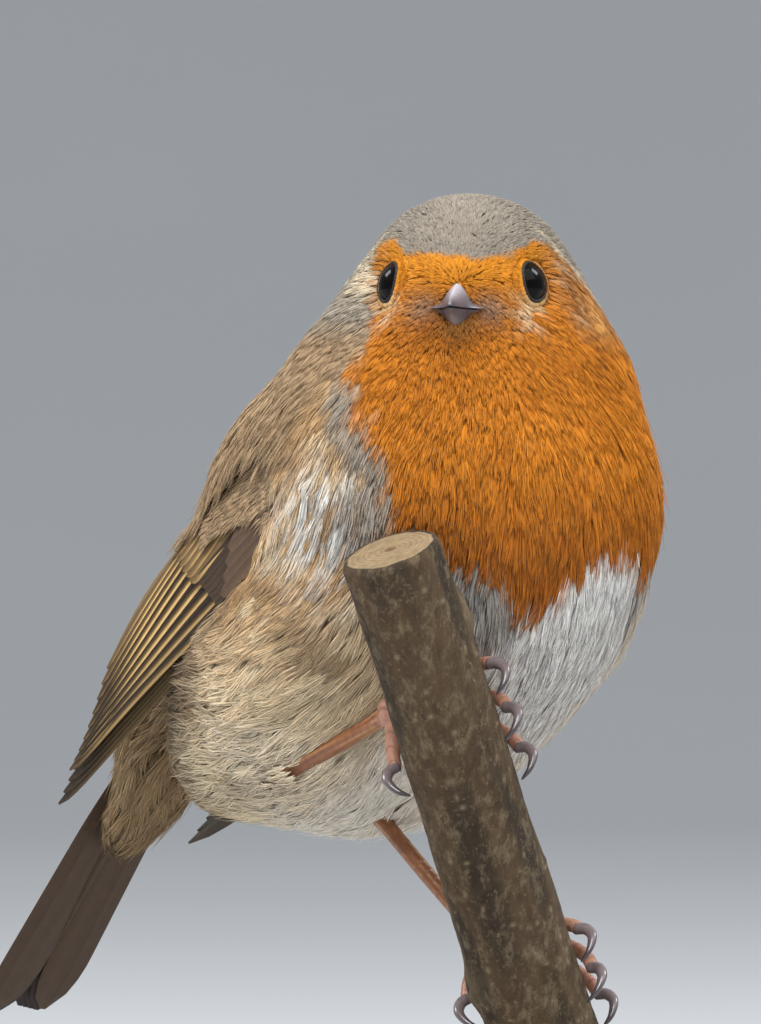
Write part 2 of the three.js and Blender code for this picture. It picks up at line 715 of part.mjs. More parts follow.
const eyeAt = EYE_LINE_FROM.clone().addScaledVector(
  EYE_LOOK,
  headReach(EYE_LINE_FROM, EYE_LOOK) + EYE_PROUD - EYE_RADIUS,
);
const eyeBall = (side, extra) => ball(EYE_RADIUS + extra, eyeAt.clone().multiply(vec(side, 1, 1)), 7);
const upperBill = { height: 3.5, width: 5.2, tipY: BILL_TIP_Y, up: 1 };
const lowerBill = { height: 1.6, width: 4.8, tipY: BILL_TIP_Y + 1.1, up: -1 };
const headCutters = [
  eyeBall(1, GAP),
  eyeBall(-1, GAP),
  billHalf({ ...upperBill, grow: GAP }),
  billHalf({ ...lowerBill, grow: GAP }),
];
let headPlumes = headSolid();
for (const cutter of headCutters) {
  const placed = moved(cutter, headMatrix);
  headPlumes = headPlumes.subtract(placed);
  plumes = plumes.subtract(placed);
}

const NECK_LOW = 20;
const NECK_HIGH = 27;
const pieces = {
  head: slice(NECK_HIGH + GAP, 120),
  neck: slice(NECK_LOW + GAP, NECK_HIGH),
  trunk: slice(-120, NECK_LOW),
};
addMesh("head", largest(headPlumes.intersect(pieces.head)), looks.crown);
addMesh("neck", largest(plumes.intersect(pieces.neck)), looks.breast);
addMesh("trunk", largest(plumes.intersect(pieces.trunk)), looks.belly);

const head = new THREE.Group();
head.position.copy(HEAD_AT).add(trunkOrigin);
head.rotation.z = HEAD_TURN;
robin.add(head);
addMesh("bill_upper", billHalf(upperBill), looks.horn, head);
addMesh("bill_lower", billHalf(lowerBill), looks.horn, head);
addMesh("eye_right", eyeBall(-1, 0), looks.eye, head);
addMesh("eye_left", eyeBall(1, 0), looks.eye, head);

addMesh("tail", tail, looks.flight);
for (const [name, wing] of Object.entries(wings)) {
  addMesh(`wing_${name}_coverts`, wing.coverts, looks.flank);
  addMesh(`wing_${name}_secondaries`, wing.secondaries, looks.flight);
  addMesh(`wing_${name}_primaries`, wing.primaries, looks.flight);
}
for (const [name, leg] of Object.entries(legs)) {
  addMesh(`shank_${name}`, largest(leg.shank.subtract(leg.footClear)), looks.leg);
  addMesh(`foot_${name}`, leg.foot, looks.leg);
  for (const claw of leg.claws) {
    addMesh(`claw_${name}_${claw.toe}`, largest(claw.solid.subtract(leg.footClear)), looks.claw);
  }
}

addMesh("perch", perch, looks.bark);
// The rod stands where the middle of the perch meets the cup.
const cupTop = CUP_FLOOR_Z + CUP_HEIGHT;
const cupAt = PERCH_AT.clone().addScaledVector(PERCH_WAY, (cupTop - TRUNK_HEIGHT - PERCH_AT.z) / PERCH_WAY.z);
const cup = cylinder(CUP_RADIUS, CUP_FLOOR_Z, cupTop, 16);
const rod = cylinder(ROD_RADIUS, BASE_THICKNESS, CUP_FLOOR_Z, 16).add(cup);
addMesh("stand_rod", rod.translate([cupAt.x, cupAt.y, 0]), looks.brass);

const baseProfile = [
  new THREE.Vector2(0, 0),
  new THREE.Vector2(BASE_RADIUS - BASE_CHAMFER, 0),
  new THREE.Vector2(BASE_RADIUS, BASE_CHAMFER),
  new THREE.Vector2(BASE_RADIUS, BASE_THICKNESS - BASE_CHAMFER),
  new THREE.Vector2(BASE_RADIUS - BASE_CHAMFER, BASE_THICKNESS),
  new THREE.Vector2(0, BASE_THICKNESS),
];
const base = new THREE.LatheGeometry(baseProfile, 36).rotateX(Math.PI / 2);
addMesh("stand_base", solidFacingOut(base), looks.base);

export default robin;
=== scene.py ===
"""A european robin, life size and still, gripping a short length of stem on a plain display stand."""

import math

import bpy
import numpy as np
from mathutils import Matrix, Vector


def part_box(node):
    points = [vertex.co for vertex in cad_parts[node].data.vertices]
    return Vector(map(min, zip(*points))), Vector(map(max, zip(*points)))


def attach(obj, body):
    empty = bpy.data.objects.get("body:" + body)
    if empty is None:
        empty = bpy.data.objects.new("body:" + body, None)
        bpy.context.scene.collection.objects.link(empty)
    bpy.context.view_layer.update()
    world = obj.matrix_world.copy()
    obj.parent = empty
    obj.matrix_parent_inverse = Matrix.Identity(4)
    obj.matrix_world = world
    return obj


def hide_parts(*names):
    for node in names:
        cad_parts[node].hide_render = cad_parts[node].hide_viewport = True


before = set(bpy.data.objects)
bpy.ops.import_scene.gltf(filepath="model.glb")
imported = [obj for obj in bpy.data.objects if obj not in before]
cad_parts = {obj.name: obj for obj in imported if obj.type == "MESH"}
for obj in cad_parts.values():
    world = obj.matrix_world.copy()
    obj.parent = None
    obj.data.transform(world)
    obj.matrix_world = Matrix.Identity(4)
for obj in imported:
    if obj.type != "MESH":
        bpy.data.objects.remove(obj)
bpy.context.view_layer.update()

MM = 0.001
SIDES = {"right": -1.0, "left": 1.0}
TAU = 2 * math.pi
SHARE = 1.0  # how much of the coat is laid

# ------------------------------------------------------------------ the bird's places, in millimetres

# Body points are measured from the middle of the trunk, head points from between the eyes.
TRUNK = np.array((0.0, 0.0, 98.0))
HEAD_AT = np.array((0.0, -7.0, 36.6))
HEAD_TURN = math.radians(-48)
TAIL_ROOT = np.array((0.0, 40.4, -8.0))
TAIL_PITCH = math.radians(-50.4)
TAIL_LENGTH = 58.5
WRIST = np.array((22.4, -4.0, 13.0))
WING_TIP = {"right": np.array((13.0, 55.6, -26.6)), "left": np.array((12.0, 57.2, -32.0))}
WING_ACROSS = np.array((-0.32, 0.54, 0.78))
PERCH_AT = np.array((-16.5, -20.8, -15.0))
PERCH_WAY = np.array((-0.464, -0.04, 1.0)) / math.sqrt(0.464**2 + 0.04**2 + 1)
PERCH_TOP = 22.0
STEM_REACH = (6.9, 6.1)  # the stem's radius at its foot and at its top
ANKLE = {"right": np.array((-17.0, 7.6, -22.0)), "left": np.array((-4.4, 6.2, -25.6))}


def middle_of(node):
    """The middle of a CAD node, measured from the trunk's middle."""
    low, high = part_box(node)
    return (np.array(low) + np.array(high)) / 2 / MM - TRUNK


# ------------------------------------------------------------------ small tools


def colour(red, green, blue):
    """A paint colour from its usual 0 to 255 values, as linear light."""
    values = np.array((red, green, blue)) / 255
    return np.where(values <= 0.04045, values / 12.92, ((values + 0.055) / 1.055) ** 2.4)


def lerp(a, b, t):
    return a + (b - a) * t


def ease(x, low, high):
    """From 0 at low to 1 at high, without a corner."""
    t = np.clip((x - low) / (high - low), 0, 1)
    return t * t * (3 - 2 * t)


def hump(x, reach):
    """A soft hump: 1 where x is 0, and almost nothing two reaches away."""
    return np.exp(-((x / reach) ** 2))


def unit(vectors):
    return vectors / np.maximum(np.linalg.norm(vectors, axis=-1, keepdims=True), 1e-9)


def turned(points, angle, axis):
    """Points turned about X, Y or Z by an angle."""
    a, b = {"X": (1, 2), "Y": (2, 0), "Z": (0, 1)}[axis]
    result = np.array(points, float)
    result[..., a] = points[..., a] * math.cos(angle) - points[..., b] * math.sin(angle)
    result[..., b] = points[..., a] * math.sin(angle) + points[..., b] * math.cos(angle)
    return result


def full_turn(count):
    """Angles spread evenly round a whole turn."""
    return TAU * np.arange(count) / count


def ripple(points, size, seed):
    """A smooth wandering value from about -1 to 1; size is the length of one swing in millimetres."""
    dice = np.random.default_rng(seed)
    total = np.zeros(len(points))
    for _ in range(6):
        way = unit(dice.normal(size=3))
        total += np.sin(points @ way * TAU / (size * dice.uniform(0.7, 1.5)) + dice.uniform(0, TAU))
    return total / 3


def smooth_path(points, count):
    """A smooth curve through points, as count points evenly spaced along it."""
    points = np.asarray(points, float)
    ghost = np.vstack([2 * points[0] - points[1], points, 2 * points[-1] - points[-2]])
    fine = []
    for k in range(len(points) - 1):
        a, b, c, d = ghost[k : k + 4]
        t = np.linspace(0, 1, 24, endpoint=False)[:, None]
        bend, twist = 2 * a - 5 * b + 4 * c - d, 3 * b - a - 3 * c + d
        fine.append(0.5 * (2 * b + (c - a) * t + bend * t**2 + twist * t**3))
    fine = np.vstack([*fine, points[-1:]])
    reach = np.concatenate([[0], np.cumsum(np.linalg.norm(np.diff(fine, axis=0), axis=1))])
    at = np.linspace(0, reach[-1], count)
    return np.stack([np.interp(at, reach, fine[:, k]) for k in range(3)], 1)


def to_head(points):
    return turned(points - HEAD_AT, -HEAD_TURN, "Z")


def from_head(points):
    return turned(points, HEAD_TURN, "Z") + HEAD_AT


def from_tail(points):
    return turned(points, TAIL_PITCH, "X") + TAIL_ROOT


# ------------------------------------------------------------------ the plumage's form

# Each form is an ellipsoid: its middle, its radii, its pitch about X in degrees, how softly it joins the
# forms before it, and whether it has a twin on the other side.
BODY_FORMS = [
    ((0.2, -3.2, 10), (25.7, 25.6, 24.9), 0, 0, False),  # breast
    ((8, -4.2, -2.4), (13.2, 16.2, 11.6), 0, 5, True),  # keel
    ((0, 7, -7), (23.9, 19.9, 25.5), 45, 8, False),  # belly
    ((0, 25, -16), (14, 10, 17), 58, 8, False),  # vent
    ((0, 22, -1.5), (19, 12, 18), 38, 8, False),  # rump
    (tuple(from_tail(np.array((0, 2, 2.0)))), (9.4, 4.4, 15), 39.6, 6, False),  # upper tail coverts
    (tuple(from_tail(np.array((0, 13, -2.8)))), (6.4, 3.4, 17.5), 39.6, 6, False),  # under tail coverts
    ((10.3, 10.9, 9.7), (9.8, 13.3, 13.5), 0, 6, True),  # mantle
    ((1.4, -5, 25.6), (20.8, 17, 12.4), 0, 6, False),  # neck
]
HEAD_FORMS = [
    ((0, 0, 0), (12.4, 13.4, 10.8), 0, 0, False),  # crown
    ((0, -7.6, -2.2), (6.6, 6.4, 5.6), 0, 4, False),  # face
    ((6, 0.4, -4.6), (7.4, 9, 7.6), 0, 4, True),  # cheek
    ((5.6, -6.4, 3.4), (3.6, 4.4, 2.6), 0, 2.5, True),  # brow
    ((0, -4.5, -8.5), (8.6, 7.6, 7), 0, 5, False),  # throat
]


def blended(a, b, reach):
    overlap = np.maximum(reach - np.abs(a - b), 0) / max(reach, 1e-6)
    return np.minimum(a, b) - overlap * overlap * reach / 4


def ellipsoid(points, at, radii, pitch):
    q = turned(points - np.array(at), -math.radians(pitch), "X") / np.array(radii)
    near = np.linalg.norm(q, axis=-1)
    steep = np.maximum(np.linalg.norm(q / np.array(radii), axis=-1), 1e-6)
    return near * (near - 1) / steep


def distance_to(forms, points):
    distance = None
    for at, radii, pitch, blend, paired in forms:
        d = ellipsoid(points, at, radii, pitch)
        if paired:
            d = np.minimum(d, ellipsoid(points * np.array((-1, 1, 1)), at, radii, pitch))
        distance = d if distance is None else blended(distance, d, blend)
    return distance


EYES, EYE_LOOK = {}, {}
for eye_name, eye_sign in SIDES.items():
    # The balls stand a little further in, forward and up than the solids' middles.
    eye_shift = from_head(np.array((-eye_sign * 0.55, -0.1, 0.3))) - HEAD_AT
    EYES[eye_name] = middle_of(f"eye_{eye_name}") + eye_shift
    EYE_LOOK[eye_name] = from_head(unit(np.array((eye_sign * 0.76, -0.6, 0.24)))) - HEAD_AT
eye_low, eye_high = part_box("eye_left")
EYE_RADIUS = (eye_high.z - eye_low.z) / MM / 2
SOCKET_RIM = 1.75  # how far out from the ball's middle the hollow round it lies


def round_eyes(points):
    """How far points stand above the shallow hollow round each eye."""
    above = np.full(len(points), -9.0)
    for name in SIDES:
        q = points - EYES[name]
        out = q @ EYE_LOOK[name]
        aside = np.linalg.norm(q - out[:, None] * EYE_LOOK[name], axis=1)
        above = np.maximum(above, np.where(out > 0, out - SOCKET_RIM - 0.45 * np.maximum(aside - 2.9, 0), -9))
    return above


def plumage(points):
    """How far points stand out of the plumage; negative inside it."""
    form = blended(distance_to(BODY_FORMS, points), distance_to(HEAD_FORMS, to_head(points)), 6)
    return np.maximum(form, round_eyes(points))


def outward(points):
    """The plumage's outward direction, and how steeply its distance grows there."""
    step = 0.05
    slopes = [(plumage(points + step * e) - plumage(points - step * e)) / (2 * step) for e in np.eye(3)]
    slope = np.stack(slopes, -1)
    steep = np.linalg.norm(slope, axis=-1, keepdims=True)
    return slope / np.maximum(steep, 1e-6), steep


def to_level(points, level):
    """Points moved along the outward direction to a level above or below the plumage's surface."""
    out, steep = outward(points)
    return points - out * ((plumage(points) - level)[:, None] / np.maximum(steep, 0.3))


# ------------------------------------------------------------------ stem and folded wings

PERCH_TURN = np.array(Vector((0, 0, 1)).rotation_difference(Vector(PERCH_WAY)).to_matrix())
perch_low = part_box("perch")[0]
PERCH_FOOT = -(PERCH_AT[2] + TRUNK[2] - perch_low.z / MM) / PERCH_WAY[2]


def from_perch(points):
    return points @ PERCH_TURN.T + PERCH_AT


def to_perch(points):
    return (points - PERCH_AT) @ PERCH_TURN


def perch_radius(s):
    """The stem's own radius at a distance along it."""
    return lerp(*STEM_REACH, (s - PERCH_FOOT) / (PERCH_TOP - PERCH_FOOT))


def off_perch(points, clear):
    """Points inside the stem are moved out to its bark, with clear to spare."""
    q = to_perch(points)
    reach = np.linalg.norm(q[:, :2], axis=1)
    wanted = perch_radius(q[:, 2]) + clear
    inside = (reach < wanted) & (q[:, 2] < PERCH_TOP + 0.3)
    q[inside, :2] *= (wanted[inside] / np.maximum(reach[inside], 0.5))[:, None]
    return from_perch(q)


def wing_frame(name):
    """The folded wing's own axes: up across it, along it to the tip, and out from the body."""
    mirror = np.array((SIDES[name], 1, 1))
    wrist = WRIST * mirror
    along = unit(WING_TIP[name] * mirror - wrist)
    out = unit(np.cross(along, WING_ACROSS * mirror))
    if out[0] * SIDES[name] < 0:
        out = -out
    across = unit(np.cross(along, out))
    if across[2] < 0:
        across = -across
    return np.stack([across, along, out]), wrist


WING = {name: wing_frame(name) for name in SIDES}
WING_LENGTH = {name: np.linalg.norm(WING_TIP[name] - WRIST) for name in SIDES}
# The folded wing's outline: places along it, and its lower and upper edge at each.
WING_EDGES = np.array(
    [
        (-4, -4, 10),
        (8, -5.6, 13),
        (30, -3.2, 14.6),
        (42, -1.6, 14.2),
        (52, -0.4, 10.6),
        (64, -1.6, 5.6),
        (73, -1.4, 2.4),
    ]
)
WING_BOW = 1.3  # how far the folded wing bows out half way along


def from_wing(name, points):
    axes, wrist = WING[name]
    return points @ axes + wrist


def to_wing(name, points):
    axes, wrist = WING[name]
    return (points - wrist) @ axes.T


def wing_sheet(name, x, y):
    """How far the folded wing's middle sheet stands out at a place on it."""
    bow = WING_BOW * np.sin(math.pi * np.clip(y / WING_LENGTH[name], 0, 1))
    return bow - 0.03 * np.maximum(x - 4, 0) ** 2


def on_wing(name, points, margin):
    """From 0 to 1: how surely a point lies over or under the folded wing."""
    q = to_wing(name, points)
    low = np.interp(q[:, 1], WING_EDGES[:, 0], WING_EDGES[:, 1])
    high = np.interp(q[:, 1], WING_EDGES[:, 0], WING_EDGES[:, 2])
    inside = np.minimum(np.minimum(q[:, 0] - low, high - q[:, 0]), np.minimum(q[:, 1] + 3, 70 - q[:, 1]))
    near = np.abs(q[:, 2] - wing_sheet(name, q[:, 0], q[:, 1])) < 8
    return ease(inside, margin - 1, margin + 1) * near


BILL_BASE = from_head(np.array((0.0, -11.0, -3.0)))

# ------------------------------------------------------------------ skin

SPINE = smooth_path(
    [(0, -7, 37), (0, -6, 27), (0, -2, 12), (0, 6, -4), (0, 20, -12), (0, 40, -16), (0, 53, -29)], 160
)


COAT_DEPTHS = (0.25, 0.6)  # how deep the skin lies at the bill and on the body
WING_PRESS, STEM_GAP = 1.6, 0.6  # how far the wings and the stem press the skin in


def coat_depth(points):
    """How deep the skin lies under the feathers' tips."""
    from_bill = np.linalg.norm(points - BILL_BASE, axis=-1)
    return lerp(*COAT_DEPTHS, ease(from_bill, 3, 36))


def skin_level(points):
    """Zero on the skin: the plumage less its coat, pressed in by the wings and the stem."""
    level = plumage(points) + coat_depth(points)
    for name in SIDES:
        level = level + WING_PRESS * on_wing(name, points, 1.5)
    q = to_perch(points)
    in_stem = perch_radius(q[:, 2]) + STEM_GAP - np.linalg.norm(q[:, :2], axis=1)
    in_stem = np.where(q[:, 2] > PERCH_TOP + 1, -9, in_stem)
    return np.maximum(level, in_stem)


def reach_of(starts, ways):
    """Where rays that leave the spine come out of the skin."""
    stride, farthest = 1.2, 62
    inside = np.zeros(len(starts))
    still = np.ones(len(starts), bool)
    for step in np.arange(stride, farthest, stride):
        beyond = skin_level(starts[still] + ways[still] * step) > 0
        index = np.flatnonzero(still)
        inside[index[~beyond]] = step
        still[index[beyond]] = False
        if not still.any():
            break
    outside = inside + stride
    for _ in range(10):
        half = (inside + outside) / 2
        beyond = skin_level(starts + ways * half[:, None]) > 0
        outside = np.where(beyond, half, outside)
        inside = np.where(beyond, inside, half)
    return starts + ways * inside[:, None]


SKIN_ROUND = 120
SKIN_DOME = 14


def skin_rings():
    """The skin as rings round the spine, with a dome of rings over each end."""
    stations = smooth_path(SPINE[::10].tolist() + [SPINE[-1].tolist()], 120)
    along = unit(np.gradient(stations, axis=0))
    starts, ways = [], []
    plan = [(0, -math.pi / 2 * (1 - k / (SKIN_DOME + 1))) for k in range(SKIN_DOME + 1)]
    plan += [(k, 0.0) for k in range(len(stations))]
    plan += [(len(stations) - 1, math.pi / 2 * k / (SKIN_DOME + 1)) for k in range(1, SKIN_DOME + 2)]
    # The first and last rings stay a hair wide, so that their fans have an area.
    plan[0] = (0, -math.pi / 2 + 0.004)
    plan[-1] = (len(stations) - 1, math.pi / 2 - 0.004)
    angle = TAU * (np.arange(SKIN_ROUND) + 0.5) / SKIN_ROUND
    for k, tilt in plan:
        tangent = along[k]
        side = np.array((1.0, 0, 0))
        over = unit(np.cross(tangent, side))
        way = np.cos(angle)[:, None] * side + np.sin(angle)[:, None] * over
        starts.append(np.repeat(stations[k][None], SKIN_ROUND, 0))
        ways.append(way * math.cos(tilt) + tangent * math.sin(tilt))
    met = reach_of(np.vstack(starts), np.vstack(ways))
    return met.reshape(len(plan), SKIN_ROUND, 3)


# ------------------------------------------------------------------ markings

ORANGE = colour(206, 126, 28)
ORANGE_SHADE = colour(150, 76, 14)
THROAT_SHADE = colour(142, 76, 14)
FOREHEAD = colour(224, 146, 32)
CROWN = colour(158, 147, 132)
BACK = colour(172, 144, 110)
EAR = colour(166, 110, 58)
GREY_BAND = colour(150, 146, 140)
WHITE = colour(240, 237, 230)
WARM_WHITE = colour(244, 230, 206)
FLANK = colour(200, 162, 114)
CREAM = colour(236, 217, 182)
CREAM_ORANGE = colour(232, 172, 98)
VENT = colour(156, 130, 94)
EYE_RING = colour(228, 204, 152)
UMBER = colour(118, 92, 64)
SMOKE = colour(150, 140, 128)
DUSK = colour(158, 136, 114)
TAN = colour(206, 158, 100)


def toned(base, other, mask):
    """The base colours, taken towards another where the mask is 1."""
    return base + (np.asarray(other) - base) * mask[:, None]


def plain(shade, count):
    """One colour for each of count points."""
    return np.repeat(shade[None], count, 0)


def bib_edge(round_breast):
    """How high the orange reaches down the breast, at an angle round it; 0 is straight ahead."""
    lobes = -3.4 * hump(round_breast + 18, 11) + 3.6 * hump(round_breast - 12, 10)
    return 0.6 + lobes + 4.5 * ease(np.abs(round_breast), 30, 56)


def near(points, place, reach):
    """From 1 at a place to 0 well away from it."""
    return hump(np.linalg.norm(points - np.array(place), axis=1), reach)


def body_shade(points, wander, fine):
    """The white belly, buff flanks and olive-brown upper side, with painted shade beside the stem and under
    the wing.
    """
    x, y, z = points.T
    back = ease(y + 0.62 * (z - 6) + 0.8 * wander, 3, 9)
    under = ease(-z - 0.1 * y + 1.5 * wander, -2, 16)
    flank = ease(np.abs(x) + 0.10 * (y + 10) + 1.2 * wander, 10.5, 18)
    shade = plain(WHITE, len(points))
    shade = toned(shade, FLANK, flank)
    shade = toned(shade, CREAM, under * flank * 0.7)
    shade = toned(shade, CREAM, ease(y, 12, 24) * (1 - 0.4 * flank))
    shade = toned(shade, VENT, ease(y, 27, 37))
    drift = ripple(points * np.array((1, 1, 1.3)), 9, 18)
    # Grey on the belly's sides, stronger on the bird's right next to the stem: the belly's grey sides, with
    # painted shade next to the stem.
    beside = ease(np.where(x < 0, -x, 0.6 * x) + wander, 5, 10)
    shade = toned(shade, SMOKE, beside * ease(z, -16, -4) * (1 - flank) * 0.8)
    shade = toned(shade, CREAM, 0.55 * ease(drift, 0.1, 0.9) * flank)
    shade = toned(shade, UMBER, 0.5 * ease(-drift, 0.1, 1.0) * flank)
    shade = toned(shade, WARM_WHITE, 0.6 * ease(-z + 0.15 * y + wander, 14, 22) * ease(-y, -24, -12))
    # The rear of the flank under the wing is browner: partly the flank's brown, partly painted shade under
    # the wing.
    shade = toned(shade, UMBER, 0.75 * ease(y + 0.8 * wander, 15, 23) * ease(z + 0.25 * y, -17, -7) * flank)
    shade = toned(shade, BACK, back * ease(z - 0.25 * y, -14, -5) * ease(np.abs(x) + (z + 0.5 * y), 12, 17))
    # White streaks where the breast feathers fold over the bend of the wing.
    folded = np.abs(points * np.array((1, 0, 0))) + points * np.array((0, 1, 1))
    # A darker brown patch low on the flank beside the stem, mirrored to the other side: partly the flank's
    # brown, partly painted shade.
    shade = toned(shade, UMBER, 0.5 * near(folded, (21.5, -6.9, -9), 6))
    shade = toned(shade, CREAM, 0.75 * near(folded, (13, 25, -23), 6))
    streaks = ease(ripple(points, 1.1, 17), -0.6, 0.5)
    return toned(shade, WHITE, np.clip(1.3 * near(folded, (24, -8, 7), 6.5), 0, 1) * streaks)


def bib_reach(points, wander, fine):
    """How far points lie inside the bib's side border and above its lower one, and their angle round it."""
    x, y, z = points.T
    round_breast = np.degrees(np.arctan2(x, -(y + 2.6)))
    above = z - bib_edge(round_breast) + 0.9 * wander + 0.5 * fine
    sideways = 60 - np.abs(round_breast) + 1.3 * np.clip(z - 14, 0, 14) + 3.0 * wander + 1.5 * fine
    return sideways, above, round_breast


# How high the orange reaches on the head: places from front to back, and its height at each.
FACE_TOP = (-14, -11.5, -9, -6.5, -4, -1, 3, 7, 11), (3.2, 3.6, 5.3, 4.9, 2.6, -0.2, -3.6, -8, -14)


def head_shade(h, sideways, wander, fine):
    """Grey-brown above and behind, orange face, brown ear coverts and a pale streaky line between, with
    painted shadow on the throat under the bill.
    """
    top = np.interp(h[:, 1], *FACE_TOP)
    under_top = top + 0.35 * wander + 0.25 * fine - h[:, 2]
    on_neck = np.maximum(ease(h[:, 1], -4, 1), ease(-h[:, 2], 3.6, 7.6))
    face = ease(under_top, -0.45, 0.45) * lerp(1.0, ease(sideways, -4, 4), on_neck)
    orange = toned(plain(ORANGE, len(h)), FOREHEAD, ease(h[:, 2], -3, 2))
    ear = ease(h[:, 1], -9.5, -5.5) * ease(h[:, 2], -13, -7)
    streaks = ease(ripple(h * np.array((1, 0.35, 1)), 1.6, 15), 0, 1)
    orange = toned(orange, toned(plain(EAR, len(h)), CREAM, 0.3 * streaks), ear * 0.85)
    sides = h * np.array((0, 1, 1)) + np.abs(h * np.array((1, 0, 0)))
    orange = toned(orange, TAN, 0.45 * near(sides, (6.6, -13.6, -4), 2.8) * ease(fine, -1.0, 0.4))
    orange = toned(orange, DUSK, 0.95 * near(sides, (3.8, -14.9, -3.5), 1.9))
    orange = toned(orange, CREAM_ORANGE, near(sides, (15.7, -2.4, -5), 2.4))
    # The throat under the bill is darkened: painted shadow of the bill and head.
    orange = toned(orange, THROAT_SHADE, near(h, (0.3, -16.5, -8.6), 6.5))
    orange = toned(orange, CREAM_ORANGE, 0.55 * near(h, (0.2, -15.7, -5.6), 1.9))
    face = face * (1 - ease(-h[:, 0] + 0.5 * fine, 10.3, 11.6))
    shade = plain(CROWN, len(h))
    shade = toned(shade, BACK, np.maximum(ease(h[:, 1] - 0.4 * h[:, 2], 6, 14), ease(-h[:, 2], 3, 8)))
    shade = toned(shade, CREAM, 0.85 * near(h, (-12.2, -6.4, 0.4), 2.7))
    line = ease(-np.abs(under_top + 0.9), -1.5, -0.5) * ease(h[:, 1], -7.5, -5) * (1 - ease(h[:, 1], 3, 8))
    shade = toned(shade, orange, face)
    return toned(shade, CREAM, line * (0.25 + 0.35 * ease(fine, -0.6, 0.6)))


def markings(points):
    """The plumage's colour at a place on the body, with some painted shade in it. Skin and feathers both take
    it.
    """
    h = to_head(points)
    wander = ripple(points, 7, 11)
    fine = ripple(points, 2.4, 12)
    z = points[:, 2]
    shade = body_shade(points, wander, fine)

    # The bib with its grey border.
    sideways, above, round_breast = bib_reach(points, wander, fine)
    on_body = ease(sideways, -3, 3) * ease(above, -0.8, 0.8)
    border = ease(sideways, -13, -5) * ease(above, -6, -2) * (1 - ease(z, 22, 29))
    shade = toned(shade, GREY_BAND, border * ease(np.abs(round_breast), 14, 34) * 0.7)
    # The orange is darkened lower down the breast and in faint streaks down it: painted shade away from the
    # light above, and painted shadow between the feathers.
    orange = toned(plain(ORANGE, len(points)), ORANGE_SHADE, ease(-z, -18, 0) * 0.55)
    orange = toned(orange, ORANGE_SHADE, 0.15 * ease(ripple(points * np.array((1, 1, 0.4)), 4, 16), 0, 1))
    shade = toned(shade, orange, on_body)

    head = head_shade(h, sideways, wander, fine)
    shade = toned(shade, head, ease(z + 0.25 * points[:, 1], 22, 27) * ease(z, 24, 29))
    for name in SIDES:
        to_eye = points - EYES[name]
        reach = np.linalg.norm(to_eye, axis=1)
        below = ease(-to_eye[:, 2], 0.2, 2.4)
        shade = toned(shade, EYE_RING, ease(-reach, -5.2, -4.0) * below * 0.6)
        streak = near(h, (SIDES[name] * 8.7, -12.6, -4.2), 1.9)
        shade = toned(shade, CREAM, streak * ease(fine, -0.7, 0.4) * 0.65)
    return np.clip(shade * (1 + 0.04 * fine)[:, None], 0, 1)


# ------------------------------------------------------------------ meshes


def settle(piece, replaces=()):
    """Tells the frame which body a piece rides on, and the CAD nodes that it stands for."""
    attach(piece, "root")
    if replaces:
        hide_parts(*replaces)


def add_piece(name, points, faces, slot, finish, replaces=()):
    """A smooth mesh piece of the bird. Points are in millimetres from the trunk's middle."""
    mesh = bpy.data.meshes.new(name)
    world = (points + TRUNK) * MM
    corners = faces.shape[1]
    mesh.vertices.add(len(world))
    mesh.vertices.foreach_set("co", world.astype(np.float32).ravel())
    mesh.loops.add(faces.size)
    mesh.loops.foreach_set("vertex_index", faces.astype(np.int32).ravel())
    mesh.polygons.add(len(faces))
    mesh.polygons.foreach_set("loop_start", np.arange(0, faces.size, corners, dtype=np.int32))
    mesh.update(calc_edges=True)
    mesh.polygons.foreach_set("use_smooth", np.full(len(faces), True))
    mesh.materials.append(finish)
    piece = bpy.data.objects.new(name, mesh)
    bpy.context.scene.collection.objects.link(piece)
    settle(piece, replaces)
    return piece


def paint(piece, shades):
    """Lays a colour on each vertex, as the attribute Paint."""
    layer = piece.data.attributes.new("Paint", "FLOAT_COLOR", "POINT")
    layer.data.foreach_set("color", np.hstack([shades, np.ones((len(shades), 1))]).astype(np.float32).ravel())


def lay_map(piece, name, places):
    """Lays a UV map from one place for each vertex."""
    corners = np.empty(len(piece.data.loops), np.int32)
    piece.data.loops.foreach_get("vertex_index", corners)
    piece.data.uv_layers.new(name=name)
    piece.data.uv_layers[name].data.foreach_set("uv", places[corners].astype(np.float32).ravel())


# ------------------------------------------------------------------ finishes


class Wire:
    """A node's output socket. Sums and products of wires add Math nodes."""

    def __init__(self, finish, socket):
        self.finish = finish
        self.socket = socket

    def __add__(self, other):
        return self.finish.maths("ADD", self, other)

    __radd__ = __add__

    def __sub__(self, other):
        return self.finish.maths("SUBTRACT", self, other)

    def __rsub__(self, other):
        return self.finish.maths("SUBTRACT", other, self)

    def __mul__(self, other):
        return self.finish.maths("MULTIPLY", self, other)

    __rmul__ = __mul__


